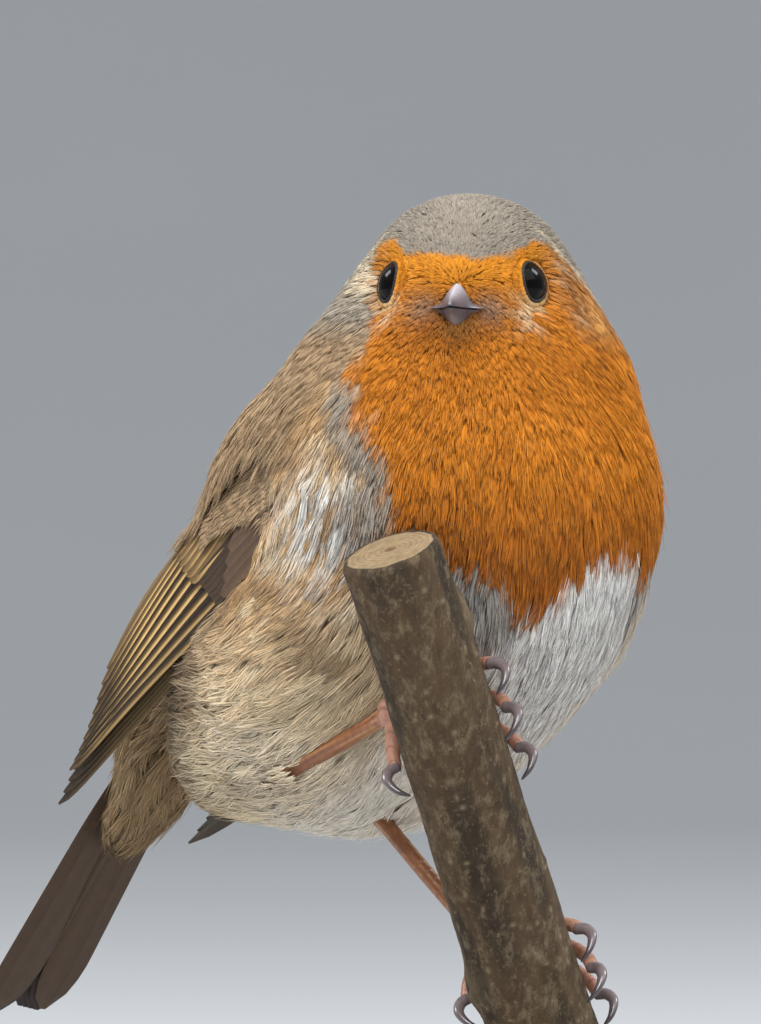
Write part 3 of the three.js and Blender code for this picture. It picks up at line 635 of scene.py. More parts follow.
class Finish:
    """A material with one Principled shader. Constants go straight on the shader's sockets."""

    def __init__(self, name, **constants):
        self.material = bpy.data.materials.new(name)
        self.material.use_nodes = True
        self.tree = self.material.node_tree
        self.shader = self.tree.nodes["Principled BSDF"]
        for socket, value in constants.items():
            self.shader.inputs[socket.replace("_", " ")].default_value = value

    def node(self, kind, settings=None, inputs=None, output=0):
        made = self.tree.nodes.new(kind)
        for key, value in (settings or {}).items():
            if key == "stops":
                while len(made.color_ramp.elements) < len(value):
                    made.color_ramp.elements.new(0.5)
                for element, (place, shade) in zip(made.color_ramp.elements, value):
                    element.position = place
                    element.color = (*shade, 1) if hasattr(shade, "__len__") else (shade, shade, shade, 1)
            else:
                setattr(made, key, value)
        for key, value in (inputs or {}).items():
            if isinstance(value, Wire):
                self.tree.links.new(value.socket, made.inputs[key])
            else:
                made.inputs[key].default_value = value
        return Wire(self, made.outputs[output])

    def maths(self, operation, *values):
        return self.node("ShaderNodeMath", {"operation": operation}, dict(enumerate(values)))

    def place(self):
        return self.node("ShaderNodeTexCoord", output="Object")

    def uv(self, name):
        return self.node("ShaderNodeUVMap", {"uv_map": name})

    def stretched(self, vector, scale, turn=(0, 0, 0)):
        return self.node("ShaderNodeMapping", None, {"Vector": vector, "Scale": scale, "Rotation": turn})

    def paint(self):
        return self.node("ShaderNodeAttribute", {"attribute_name": "Paint"})

    def noise(self, vector, scale, detail=3.0, roughness=0.5):
        inputs = {"Vector": vector, "Scale": scale, "Detail": detail, "Roughness": roughness}
        return self.node("ShaderNodeTexNoise", None, inputs)

    def ramp(self, value, *stops):
        return self.node("ShaderNodeValToRGB", {"stops": stops}, {0: value})

    def blend(self, mask, a, b):
        """Colour a where the mask is 0, and b where it is 1."""
        a, b = (v if isinstance(v, Wire) else (*v, 1) for v in (a, b))
        return self.node("ShaderNodeMix", {"data_type": "RGBA"}, {0: mask, 6: a, 7: b}, output=2)

    def tinted(self, base, value):
        """A colour made darker or lighter by a value near 1."""
        grey = self.node("ShaderNodeCombineColor", None, {0: value, 1: value, 2: value})
        settings = {"data_type": "RGBA", "blend_type": "MULTIPLY"}
        return self.node("ShaderNodeMix", settings, {0: 1.0, 6: base, 7: grey}, output=2)

    def feed(self, **wires):
        for socket, wire in wires.items():
            self.tree.links.new(wire.socket, self.shader.inputs[socket.replace("_", " ")])

    def bump(self, height, distance, strength):
        inputs = {"Height": height, "Distance": distance, "Strength": strength}
        self.feed(Normal=self.node("ShaderNodeBump", None, inputs))


def painted_finish(name, grain, tone, bump=None, **constants):
    """The painted colour, varied by a fine grain, which can stand up a little.

    grain holds its scale and detail, tone the darkest tint and its swing, and bump its height and strength.
    """
    finish = Finish(name, **constants)
    paint_wire = finish.paint()
    speckle = finish.noise(finish.place(), *grain)
    finish.feed(Base_Color=finish.tinted(paint_wire, tone[0] + tone[1] * speckle))
    if bump:
        finish.bump(speckle, *bump)
    return finish.material


coat_finish = painted_finish(
    "plumage",
    grain=(1600.0, 2.0),
    tone=(0.82, 0.36),
    Roughness=0.75,
    Sheen_Weight=0.05,
    Sheen_Roughness=0.5,
    Specular_IOR_Level=0.14,
)

skin_finish = painted_finish(
    "skin under the coat",
    grain=(900.0, 4.0),
    tone=(0.9, 0.25),
    bump=(0.0003, 0.6),
    Roughness=0.95,
    Specular_IOR_Level=0.1,
)

# ------------------------------------------------------------------ skin piece


def ring_corners(count, sides, loop=False):
    """The four corners of every face between rings; loop joins the last ring to the first."""
    k, s = np.meshgrid(np.arange(count if loop else count - 1), np.arange(sides), indexing="ij")
    here, there = k * sides, (k + 1) % count * sides
    corners = (here + s, here + (s + 1) % sides, there + (s + 1) % sides, there + s)
    return [corner.ravel() for corner in corners]


def closed_rings(rings):
    """Points and triangles of a closed skin over rings, with a fan over each end."""
    count, sides = rings.shape[:2]
    points = np.vstack([rings.reshape(-1, 3), rings[0].mean(0), rings[-1].mean(0)])
    a, b, c, d = ring_corners(count, sides)
    walls = np.vstack([np.stack([a, b, c], 1), np.stack([a, c, d], 1)])
    s = np.arange(sides)
    first, last = len(points) - 2, len(points) - 1
    end = (count - 1) * sides
    caps = np.vstack(
        [
            np.stack([np.full(sides, first), (s + 1) % sides, s], 1),
            np.stack([np.full(sides, last), end + s, end + (s + 1) % sides], 1),
        ]
    )
    return points, facing_out(points, np.vstack([walls, caps]))


def facing_out(points, faces):
    """The faces of a closed mesh, turned so that they face outwards."""
    a, b, c = (points[faces[:, k]] for k in range(3))
    volume = np.einsum("ij,ij->i", a, np.cross(b, c)).sum()
    return faces if volume > 0 else faces[:, ::-1]


skin_grid = skin_rings()
skin_points, skin_faces = closed_rings(skin_grid)
skin = add_piece("skin", skin_points, skin_faces, "belly", skin_finish, ("head", "neck", "trunk"))
paint(skin, markings(skin_points))

# The skin's unwrap: round the body across the map, and from head to tail up it.
ring_reach = np.concatenate([[0], np.cumsum(np.linalg.norm(np.diff(skin_grid, axis=0), axis=2).mean(1))])
ring_reach = 0.02 + 0.96 * ring_reach / ring_reach[-1]
ring_round = 0.02 + 0.96 * (np.arange(SKIN_ROUND) + 0.5) / SKIN_ROUND
skin_map = np.stack(np.broadcast_arrays(ring_round[None, :], ring_reach[:, None]), -1).reshape(-1, 2)
skin_map = np.vstack([skin_map, (0.5, 0.01), (0.5, 0.99)])
lay_map(skin, "OFBake", skin_map)

# ------------------------------------------------------------------ coat


def nearest_on_map(points):
    """The place on the skin's unwrap that lies nearest to each point."""
    return np.stack([skin_map[np.argmin(((skin_points - p) ** 2).sum(1))] for p in points])


def lie_of_coat(points, out):
    """Which way the feathers point: from the bill over the head, then down the body to the tail."""
    tangents = unit(np.gradient(SPINE, axis=0))
    nearest = np.concatenate(
        [
            np.argmin(((part[:, None] - SPINE[None]) ** 2).sum(-1), axis=1)
            for part in np.array_split(points, max(1, len(points) // 4000))
        ]
    )
    way = tangents[nearest]
    side_on = ease(np.abs(points[:, 0]), 9, 19) * ease(-points[:, 2], -9, 0) * ease(points[:, 1], -16, -2)
    way = way + np.outer(side_on, (0, 0.9, 0.15))
    from_bill = points - BILL_BASE
    reach = np.linalg.norm(from_bill, axis=1, keepdims=True)
    way = way + from_bill / reach * (0.25 + 3.2 * hump(reach, 15))
    for name in SIDES:
        to_eye = EYES[name] - points
        gap = np.linalg.norm(to_eye, axis=1, keepdims=True)
        to_eye = to_eye - out * (to_eye * out).sum(1, keepdims=True)
        to_eye = unit(to_eye)
        towards = np.maximum((way * to_eye).sum(1, keepdims=True), 0)
        way = way - to_eye * towards * ease(-gap, -EYE_RADIUS - 3.0, -EYE_RADIUS - 0.2)
    way = unit(way - out * (way * out).sum(1, keepdims=True))
    side = np.cross(out, way)
    swirl = 0.16 * ripple(points, 8, 31) + 0.08 * ripple(points, 3, 32)
    return unit(way + side * swirl[:, None])


def fluffy(points):
    """From 0 to 1: where the feathers are long and loose, on the flanks, the belly and under the tail."""
    low = ease(-points[:, 2], -4, 12)
    behind = ease(points[:, 1], -8, 8) * ease(-points[:, 2] - 0.5 * points[:, 1], -26, -12)
    return low * (0.35 + 0.65 * behind)


def feather_length(points):
    """How long the feathers are at a place: shortest at the bill, and shorter on the crown."""
    from_bill = np.linalg.norm(points - BILL_BASE, axis=1)
    length = np.interp(from_bill, (2, 5, 9, 14, 24, 42, 70), (0.8, 1.3, 2.4, 3.6, 6.2, 7.6, 8.2))
    h = to_head(points)
    on_crown = ease(h[:, 2], 0, 4) * ease(points[:, 2], 33, 37)
    return length * (1 - 0.5 * on_crown) * (1 + 0.3 * fluffy(points))


def scatter_roots(layers):
    """Feather roots over the skin, closer together where the feathers are shorter."""
    dice = np.random.default_rng(5)
    grid_aside = np.roll(skin_grid, -1, axis=1)
    a, b = skin_grid[:-1], grid_aside[:-1]
    c, d = skin_grid[1:], grid_aside[1:]
    halves = np.cross(b - a, c - a), np.cross(b - d, c - d)
    area = (np.linalg.norm(halves[0], axis=2) + np.linalg.norm(halves[1], axis=2)) / 2
    middle = ((a + b + c + d) / 4).reshape(-1, 3)
    length = feather_length(middle)
    wanted = area.ravel() * layers / (length * feather_width(length)) * SHARE * (1 + 0.3 * fluffy(middle))
    wanted *= 1 - 0.98 * np.maximum(on_wing("right", middle, 3.5), on_wing("left", middle, 3.5))
    total = np.cumsum(wanted)
    picks = np.arange(int(total[-1])) + dice.uniform(0.3, 0.7, int(total[-1]))
    cell = np.minimum(np.searchsorted(total, picks), len(wanted) - 1)
    i, j = np.divmod(cell, SKIN_ROUND)
    s = ((picks - total[cell] + wanted[cell]) / wanted[cell])[:, None]
    t = dice.uniform(size=(len(cell), 1))
    roots = lerp(lerp(a[i, j], b[i, j], s), lerp(c[i, j], d[i, j], s), t)
    round_it = ring_round[j] + 0.96 * s[:, 0] / SKIN_ROUND
    return roots, np.stack([round_it, lerp(ring_reach[i], ring_reach[i + 1], t[:, 0])], 1)


def feather_width(length):
    return np.interp(length, (0.8, 1.9, 4.0, 7.0, 9.0), (0.28, 0.42, 0.66, 0.95, 1.1))


PATH_STOPS = np.array((0.0, 0.3, 0.65, 1.0))  # how far along each feather its four places lie


def feather_paths(roots, sunk=0.0):
    """Four places along each feather, from the skin up to the plumage's surface, or sunk under it.

    The last value tells which feathers run evenly, without a kink.
    """
    dice = np.random.default_rng(7)
    count = len(roots)
    loose = fluffy(roots)
    length = feather_length(roots) * dice.uniform(0.8, 1.2, count)
    depth = coat_depth(roots)
    top = 0.12 + depth * dice.normal(0, 0.08 + 0.1 * loose, count) - sunk * depth
    path = [roots]
    here = roots
    veer = dice.normal(0, 0.06 + 0.16 * loose, count)
    for k in range(1, 4):
        out, _ = outward(here)
        way = lie_of_coat(here, out)
        way = unit(way + np.cross(out, way) * veer[:, None])
        here = here + way * (length * (PATH_STOPS[k] - PATH_STOPS[k - 1]))[:, None]
        rise = 1 - (1 - PATH_STOPS[k]) ** 2.6
        here = to_level(here, -depth + (depth + top) * rise)
        path.append(here)
    path = np.stack(path, 1)
    for name in SIDES:
        # From the front and from above they lie over the folded wing, and elsewhere they slip in under it.
        over = to_wing(name, path.reshape(-1, 3))
        cover = on_wing(name, path.reshape(-1, 3), 0.5)
        sheet = wing_sheet(name, over[:, 0], over[:, 1])
        from_above = (over[:, 1] < 12) | ((over[:, 0] > 7) & (over[:, 1] < 34))
        over_it = (over[:, 2] > sheet - 1.6) & from_above
        above = sheet + lerp(2.6, 1.4, ease(over[:, 0], 9, 15))
        wanted = np.where(over_it, np.maximum(over[:, 2], above), np.minimum(over[:, 2], sheet - 2.2))
        over[:, 2] = lerp(over[:, 2], wanted, cover)
        path = from_wing(name, over).reshape(path.shape)
    path = off_perch(path.reshape(-1, 3), 0.15).reshape(path.shape)
    steps = np.diff(path, axis=1)
    ways = unit(steps)
    bends = np.minimum((ways[:, 0] * ways[:, 1]).sum(1), (ways[:, 1] * ways[:, 2]).sum(1))
    stretch = np.linalg.norm(steps, axis=2).sum(1) / length
    return path, length, (bends > 0.72) & (stretch < 1.5)


STRAND_STOPS = np.array((0.0, 0.36, 0.76, 1.0))  # how far along a strand its four places lie
CORNERS_AT = np.repeat(np.arange(4), (1, 3, 3, 1))  # which of the four each corner of its blade is at
BLADE_TRIANGLES = 12


def strands(path, width, out, per_feather, seed, thin, wild=0.0):
    """Splits each feather into fine strands that part towards its tip. wild sets some of them free."""
    dice = np.random.default_rng(seed)
    shape = (len(path), per_feather)
    way = unit(path[:, 3] - path[:, 0])
    side = unit(np.cross(out, way))
    # One broad soft vane fills the middle of the feather, under the fine strands.
    broad = np.broadcast_to(np.arange(per_feather) == 0, shape)
    across = np.linspace(-1.3, 1, per_feather)[None] + dice.normal(0, 0.14, shape)
    across = np.where(broad, 0, across)
    reach = (1 - 0.2 * across**2) * dice.uniform(0.78, 1.1, shape)
    t = reach[..., None] * STRAND_STOPS
    # A smooth run through the feather's own places.
    line = np.zeros((*t.shape, 3))
    for k in range(4):
        weight = np.ones_like(t)
        for m in range(4):
            if m != k:
                weight = weight * (t - PATH_STOPS[m]) / (PATH_STOPS[k] - PATH_STOPS[m])
        line += weight[..., None] * path[:, None, None, k]
    half = width[:, None, None] / 2
    spread = half * across[..., None] * (0.35 + 0.75 * STRAND_STOPS**0.8)
    stray = dice.normal(0, 0.12, shape)[..., None] * half * STRAND_STOPS**2 * 2
    droop = -0.1 * half * across[..., None] ** 2 * STRAND_STOPS
    wild = np.broadcast_to(wild, len(path))[:, None]
    free = (dice.uniform(size=shape) < 0.12 * wild) * dice.uniform(0.2, 0.95, shape)
    lift = np.where(broad, 0, free)[..., None] * STRAND_STOPS**2 - 0.15 * broad[..., None]
    line += side[:, None, None] * (spread + stray)[..., None] + out[:, None, None] * (droop + lift)[..., None]
    thickness = width[:, None] / per_feather * thin * dice.uniform(0.7, 1.25, shape)
    return line, side, np.where(broad, 0.75 * width[:, None], thickness)


def blade_mesh(line, side, out, thickness):
    """Closed three-sided blades: a pointed root, two rings of three corners, and a pointed tip."""
    feathers, per_feather = line.shape[:2]
    count = feathers * per_feather
    line = line.reshape(count, 4, 3)
    side = np.repeat(side, per_feather, 0)
    out = np.repeat(out, per_feather, 0)
    thickness = thickness.reshape(count)
    corners = [line[:, 0]]
    for k, share in ((1, 1.0), (2, 0.74)):
        half = (thickness * share / 2)[:, None]
        ridge = out * np.minimum(half, 0.12) * 0.55
        corners += [line[:, k] - side * half, line[:, k] + side * half, line[:, k] + ridge]
    corners.append(line[:, 3])
    points = np.stack(corners, 1)
    faces = []
    for a, b in ((1, 2), (2, 3), (3, 1)):
        faces += [(0, a, b), (a, b + 3, b), (a, a + 3, b + 3), (a + 3, 7, b + 3)]
    faces = facing_out(points[0] - points[0].mean(0), np.array(faces))
    starts = np.arange(count) * points.shape[1]
    return points, (faces[None] + starts[:, None, None]).reshape(-1, 3)


def coat_region(points):
    """The part of the coat that each root belongs to."""
    h = to_head(points)
    head = points[:, 2] + 0.25 * points[:, 1] > 24
    upper = points[:, 1] + 0.62 * (points[:, 2] - 6) > 5
    region = np.where(points[:, 0] < 0, "flank_right", "flank_left")
    region = np.where(points[:, 2] > -2, "breast", region)
    region = np.where(points[:, 1] > 24, "vent", region)
    region = np.where(upper & (points[:, 1] > -8), "back", region)
    region = np.where(head & (h[:, 1] < -3), "face", region)
    return np.where(head & (h[:, 1] >= -3), "nape", region)


# The coat's parts, with their slots.
REGIONS = {
    "face": "crown",
    "nape": "crown",
    "breast": "breast",
    "flank_right": "belly",
    "flank_left": "belly",
    "vent": "belly",
    "back": "back",
}
MOST_TRIANGLES = 190000  # in one piece of the coat
COAT_LAYERS, DOWN_LAYERS = 5.8, 2.8  # how many feathers lie over one another
EYE_CONE = math.radians(61)  # no feather grows nearer than this to the way the eye looks


def bill_section(points):
    """How far points stand outside the bill's base, in millimetres; negative inside it."""
    q = to_head(points)
    horn = np.hypot(q[:, 0] / 2.6, (q[:, 2] + 2.6) / 2.8) - 1
    gape = np.hypot(q[:, 0] / 3.3, (q[:, 2] + 3.5) / 0.5) - 1
    return np.where(q[:, 1] < -8, 2.5 * np.minimum(horn, 0.4 * gape), 9)


def free_roots(layers):
    """Feather roots clear of the eyes, the bill and the stem."""
    roots, places = scatter_roots(layers)
    clear = bill_section(roots) > -0.9
    for name in SIDES:
        from_eye = roots - EYES[name]
        far = np.linalg.norm(from_eye, axis=1)
        in_view = (from_eye @ EYE_LOOK[name]) / far > math.cos(EYE_CONE)
        clear &= ~(in_view & (far < EYE_RADIUS + 1.5)) & (far > EYE_RADIUS - 0.2)
    q = to_perch(roots)
    clear &= (np.linalg.norm(q[:, :2], axis=1) > perch_radius(q[:, 2]) + 0.9) | (q[:, 2] > PERCH_TOP)
    return roots[clear], places[clear]


def lay_feathers(name, slot, path, width, out, places, per_feather, seed, thin, wild=0.0, shift=0.0):
    """One piece of the coat: every feather as strands, painted with the markings and mapped at its root."""
    line, side, thickness = strands(path, width, out, per_feather, seed, thin, wild)
    points, faces = blade_mesh(line, side, out, thickness)
    piece = add_piece(name, points.reshape(-1, 3), faces, slot, coat_finish)
    paint(piece, blade_shades(path + shift, per_feather, seed + 100))
    lay_map(piece, "OFBake", blade_patches(places, per_feather))


def lay_down():
    """The down: short broad feathers close to the skin, that close the coat under the others."""
    roots, places = free_roots(DOWN_LAYERS)
    path, length, even = feather_paths(roots, sunk=0.55)
    path, width = path[even], 1.6 * feather_width(length[even])
    out, _ = outward(path[:, 1])
    lay_feathers("coat_down", "belly", path, width, out, places[even], per_feather=1, seed=80, thin=1.0)


def lay_coat():
    """The coat over the down, part by part, and each part in pieces that stay small enough."""
    roots, places = free_roots(COAT_LAYERS)
    path, length, even = feather_paths(roots)
    roots, places, path, length = roots[even], places[even], path[even], length[even]
    width = feather_width(length)
    region = coat_region(roots)
    out, _ = outward(path[:, 1])
    for number, (name, slot) in enumerate(REGIONS.items()):
        fine = name in ("face", "nape")
        per_feather = 5 if fine else 8
        most = MOST_TRIANGLES // (per_feather * BLADE_TRIANGLES)
        index = np.flatnonzero(region == name)
        parts = max(1, math.ceil(len(index) / most))
        order = index[np.argsort(path[index, 0, 1])]
        for part_number, part in enumerate(np.array_split(order, parts), 1):
            label = f"coat_{name}" if parts == 1 else f"coat_{name}_{part_number}"
            wild = 0.0 if fine else 0.3 + 0.7 * fluffy(roots[part])
            laid = path[part], width[part], out[part], places[part]
            lay_feathers(label, slot, *laid, per_feather, seed=100 + number, thin=1.6, wild=wild)


def blade_shades(path, per_feather, seed):
    """The marking at each feather's visible end, varied by feather and strand, darker at the root and lighter
    at the tip: partly the feathers' darker bases, partly painted shade deep in the coat.
    """
    dice = np.random.default_rng(seed)
    base = markings(path[:, 2])
    count = len(path)
    tone = dice.normal(1.0, 0.05, (count, 1, 1)) * dice.normal(1.0, 0.07, (count, per_feather, 1))
    # The broad vane under the strands is a little darker: painted shade under them.
    tone[:, 0] *= 0.94
    warm = dice.normal(0.0, 0.02, (count, per_feather, 1))
    along = np.array((-0.3, -0.1, 0.0, 0.14))[CORNERS_AT]
    stations = 1 + along[None] * (0.5 + 0.9 * fluffy(path[:, 2]))[:, None]
    shades = base[:, None, None, :] * tone[..., None] * stations[:, None, :, None]
    shades = shades * (1 + warm[..., None] * np.array((1.0, 0.0, -1.0)))
    return np.clip(shades.reshape(-1, 3), 0, 1)


def blade_patches(places, per_feather):
    """Each strand's patch of the map, 0.003 across, at its root's place on the skin's unwrap."""
    along = np.linspace(0, 1, 4)[CORNERS_AT]
    across = np.array((0.5, 0.0, 1.0, 0.5, 0.0, 1.0, 0.5, 0.5))
    patch = (np.stack([across, along], 1) - 0.5) * 0.003
    spots = np.repeat(np.clip(places, 0.004, 0.996), per_feather, 0)
    return (spots[:, None] + patch[None]).reshape(-1, 2)


lay_down()
lay_coat()

# ------------------------------------------------------------------ long feathers

ACROSS_VANE = np.array((-1, -0.9, -0.76, -0.4, -0.08, 0, 0.08, 0.5, 1.0))  # places from edge to edge


def vane(line, side, out, outer, inner, thickness, camber):
    """A feather's closed blade round its shaft, as rings; outer and inner are the widths of its two webs."""
    count = len(line)
    t = np.linspace(0, 1, count)
    width = np.where(ACROSS_VANE[None] < 0, outer[:, None], inner[:, None])
    along_side = ACROSS_VANE[None] * width
    shaft = (0.3 - 0.2 * t)[:, None] * hump(along_side, 0.22)
    body = thickness * (1 - 0.75 * np.abs(ACROSS_VANE))[None] * (1 - 0.4 * t)[:, None]
    dish = -camber * (ACROSS_VANE**2)[None] * width
    blade = line[:, None] + side[:, None] * along_side[..., None]
    top = blade + out[:, None] * (dish + shaft)[..., None]
    low = blade + out[:, None] * (dish - body - 0.6 * shaft)[..., None]
    return np.concatenate([top, low[:, ::-1]], 1)


def vane_widths(t, slim, rounding):
    """A web's share of its full width along a feather, with a rounded tip."""
    tip = np.sqrt(np.clip(1 - np.clip((t - 1 + rounding) / rounding, 0, 1) ** 2, 0.02, 1))
    return lerp(slim, 1.0, ease(t, 0, 0.5)) * tip


def vane_shades(count, centre, edge, under, tip_pale, edge_pale, dice):
    """Dark along the shaft, paler at the outer edge, and plain below."""
    t = np.linspace(0, 1, count)[:, None]
    s = ACROSS_VANE[None]
    tone = dice.normal(1.0, 0.05)
    pale_edge = edge_pale * ease(-s, 0.3, 0.7) * (1 - 0.8 * ease(t, 0.7, 1))
    inner_edge = np.where(s >= 0.95, 0.3 * edge_pale, 0.0) * np.ones_like(t)
    mask = np.clip(pale_edge + inner_edge + tip_pale * ease(t, 0.93, 1.0) * np.ones_like(s), 0, 1)
    dark_shaft = hump(s, 0.06) * 0.35 * np.ones_like(t)
    top = centre + (edge - centre) * mask[..., None]
    top = top * (1 - dark_shaft[..., None]) * tone
    low = np.broadcast_to(under * tone, top.shape)
    return np.concatenate([top, low[:, ::-1]], 1)


def join_vanes(name, made, slot, finish, replaces=()):
    """Joins vanes into one piece, each with its own strip of the map."""
    points, faces, shades, own, patch = [], [], [], [], []
    start = 0
    for number, (rings_of_vane, shade) in enumerate(made):
        p, f = closed_rings(rings_of_vane)
        points.append(p)
        faces.append(f + start)
        start += len(p)
        shades.append(np.vstack([shade.reshape(-1, 3), shade[0].mean(0), shade[-1].mean(0)]))
        count, sides = rings_of_vane.shape[:2]
        half = sides // 2
        across = np.concatenate([ACROSS_VANE, ACROSS_VANE[::-1]]) * 0.5 + 0.5
        below = np.repeat((0.0, 1.0), half)
        along = np.linspace(0, 1, count)
        grid = np.stack(np.broadcast_arrays(across[None], along[:, None]), -1).reshape(-1, 2)
        own.append(np.vstack([grid, (0.5, 0), (0.5, 1)]))
        cell = (number + 0.06 + 0.88 * across) / len(made)
        rows = 0.01 + 0.48 * along[:, None] + 0.5 * below[None]
        strip = np.stack(np.broadcast_arrays(cell[None], rows), -1).reshape(-1, 2)
        patch.append(np.vstack([strip, strip[half // 2], strip[-1]]))
    piece = add_piece(name, np.vstack(points), np.vstack(faces), slot, finish, replaces)
    paint(piece, np.vstack(shades))
    lay_map(piece, "OFBake", np.vstack(patch))
    lay_map(piece, "Vane", np.vstack(own))


BARBS, BARB_SLANT = 170.0, 36.0  # barbs along a whole vane, and how many of them the slant passes

vane_finish = Finish("flight feathers", Roughness=0.62, Specular_IOR_Level=0.2)
across_vane, along_vane = (
    vane_finish.node("ShaderNodeSeparateXYZ", None, {0: vane_finish.uv("Vane")}, output) for output in (0, 1)
)
off_shaft = vane_finish.maths("ABSOLUTE", across_vane - 0.5)
barb = vane_finish.maths("SINE", (along_vane * BARBS - off_shaft * BARB_SLANT) * TAU)
soft = vane_finish.noise(vane_finish.place(), 700.0, 3.0)
barb_tone = 0.84 + 0.07 * barb + 0.3 * (soft - 0.35)
vane_finish.feed(Base_Color=vane_finish.tinted(vane_finish.paint(), barb_tone))
vane_finish.bump(barb, 0.00003, 0.5)

QUILL = colour(44, 31, 21)
GOLD_EDGE = colour(240, 196, 124)
DARK_COVERT = colour(72, 56, 42)
ALULA = colour(102, 79, 62)
COVERT_EDGE = colour(136, 108, 78)
GREATER = colour(126, 98, 64)
UNDER_WING = colour(104, 94, 84)


def wing_line(name, root, tip, height, sweep, count):
    """A feather's centre line on the folded wing, from its root to its tip, with the ways across and out."""
    t = np.linspace(0, 1, count)
    x = lerp(root[0], tip[0], t) + sweep * np.sin(math.pi * t)
    y = lerp(root[1], tip[1], t)
    over = lerp(height[0], height[1], t)
    line = from_wing(name, np.stack([x, y, over + wing_sheet(name, x, y)], 1))
    nudge = from_wing(name, np.stack([x + 0.2, y, over + wing_sheet(name, x + 0.2, y)], 1))
    way = unit(np.gradient(line, axis=0))
    side = unit(nudge - line)
    side = unit(side - way * (side * way).sum(1, keepdims=True))
    out = np.cross(side, way)
    out = out * np.sign((out * WING[name][0][2]).sum(1))[:, None]
    return line, side, out


def flight_plan(name):
    """The wing's stiff feathers, lowest first.

    Root and tip are places across and along the wing. Height is how far both stand over its sheet, webs
    are the widths beside the shaft, and edge is how strongly the outer edge takes the second shade.
    """
    length = WING_LENGTH[name]
    plan = {"primaries": [], "secondaries": [], "wing_coverts": []}
    for k in range(7):
        plan["primaries"].append(
            dict(
                root=(-3.4 + 0.5 * k, 14),
                tip=(0.1 + 0.42 * k, length - 0.3 - 2.0 * k),
                height=(-1.4 + 0.14 * k, -1.3 + 0.12 * k),
                webs=(1.2, 2.6),
                shades=(QUILL, GOLD_EDGE * 0.4),
                sweep=-1.0,
                edge=0.45,
            )
        )
    for k in range(9):
        # They all point at the wing's tip, and each ends a little short of the one below it.
        across, end = -3.6 + 2.05 * k, length - 7 - 1.75 * k
        plan["secondaries"].append(
            dict(
                root=(across * 4 / 3 - 0.35, 10),
                tip=(lerp(across, 1.2, (end - 24) / (length - 24)), end),
                height=(0.3 + 0.1 * k, 0.0 + 0.09 * k),
                webs=(1.2, 3.0),
                shades=(lerp(QUILL, GREATER, float(ease(np.array(float(k)), 5, 9))), GOLD_EDGE),
                sweep=0.3,
                edge=0.45 + 0.55 * min(1.0, k / 3),
            )
        )
    for k in range(8):
        plan["wing_coverts"].append(
            dict(
                root=(-3.4 + 0.8 * k, 9),
                tip=(-3.6 + 0.9 * k, 22.5 + 0.5 * k),
                height=(1.1 + 0.08 * k, 0.5 + 0.1 * k),
                webs=(1.2, 1.8),
                shades=(DARK_COVERT, COVERT_EDGE * 0.8),
                sweep=0.0,
                edge=0.4,
            )
        )
    for k in range(4):
        plan["wing_coverts"].append(
            dict(
                root=(-3.6 + 1.0 * k, 5),
                tip=(-3.2 + 1.5 * k, 20.5 - 1.2 * k),
                height=(1.9 + 0.12 * k, 1.3 + 0.15 * k),
                webs=(1.6, 2.2),
                shades=(ALULA, COVERT_EDGE * 0.8),
                sweep=0.2,
                edge=0.35,
            )
        )
    for k in range(7):
        plan["wing_coverts"].append(
            dict(
                root=(3.8 + 1.6 * k, 12),
                tip=(2.9 + 1.25 * k, 27 + 0.7 * k),
                height=(1.7 + 0.06 * k, 1.25 + 0.08 * k),
                webs=(1.3, 2.0),
                shades=(GREATER, GOLD_EDGE * 0.85),
                sweep=0.0,
                edge=0.8,
            )
        )
    return plan


def lay_wing(name):
    dice = np.random.default_rng(40)
    count = 22
    t = np.linspace(0, 1, count)
    outer_share = vane_widths(t, slim=0.75, rounding=0.16)
    inner_share = lerp(0.75, 1.0, ease(t, 0, 0.5)) * np.clip((1 - t) / 0.26, 0.03, 1) ** 0.9
    for group, feathers in flight_plan(name).items():
        made = []
        for plan in feathers:
            laid = wing_line(name, plan["root"], plan["tip"], plan["height"], plan["sweep"], count)
            outer, inner = plan["webs"]
            blade = vane(*laid, outer * outer_share, inner * inner_share, thickness=0.28, camber=0.03)
            shade = vane_shades(count, *plan["shades"], UNDER_WING, 0.1, plan["edge"], dice)
            made.append((blade, shade))
        node = group.replace("wing_", "")
        join_vanes(f"{group}_{name}", made, "flight_feathers", vane_finish.material, [f"wing_{name}_{node}"])


def lay_soft_coverts(name):
    """Rows of small soft feathers over the front of the wing, from the bend back to the greater coverts."""
    dice = np.random.default_rng(45)
    roots = []
    for row, y in enumerate(np.arange(24, -6, -1.5)):
        for x in np.arange(-5, 18, 1.25) + 0.6 * (row % 2):
            roots.append((x + dice.normal(0, 0.25), y + dice.normal(0, 0.4)))
    roots = np.array(roots)
    last = np.interp(roots[:, 0], (-5, -1, 3, 5, 11, 13, 17), (1.5, 5.5, 10, 18, 20, 15, 6))
    roots = roots[(roots[:, 0] > -3.6) & (roots[:, 1] < last) & (roots[:, 1] > -1 - 0.3 * roots[:, 0])]
    count = len(roots)
    long = dice.uniform(4.6, 6.2, count)
    path = []
    for stop, height in zip(PATH_STOPS, (1.0, 2.0, 2.35, 2.3)):
        x = roots[:, 0] + dice.normal(0, 0.05, count) - 0.3 * stop
        y = roots[:, 1] + long * stop
        # They lie lower towards the wing's upper edge.
        sheet = height * (1 - 0.6 * ease(x, 9, 16)) + wing_sheet(name, x, y)
        path.append(from_wing(name, np.stack([x, y, sheet + dice.normal(0, 0.06, count) * stop], 1)))
    path = np.stack(path, 1)
    out = np.repeat(WING[name][0][2][None], count, 0)
    places = nearest_on_map(path[:, 0])
    # Their colour is that of the plumage a little further back and up.
    behind = np.array((0, 6, 3))
    laid = path, np.full(count, 2.0), out, places
    lay_feathers(f"coat_shoulder_{name}", "back", *laid, per_feather=14, seed=310, thin=1.9, shift=behind)


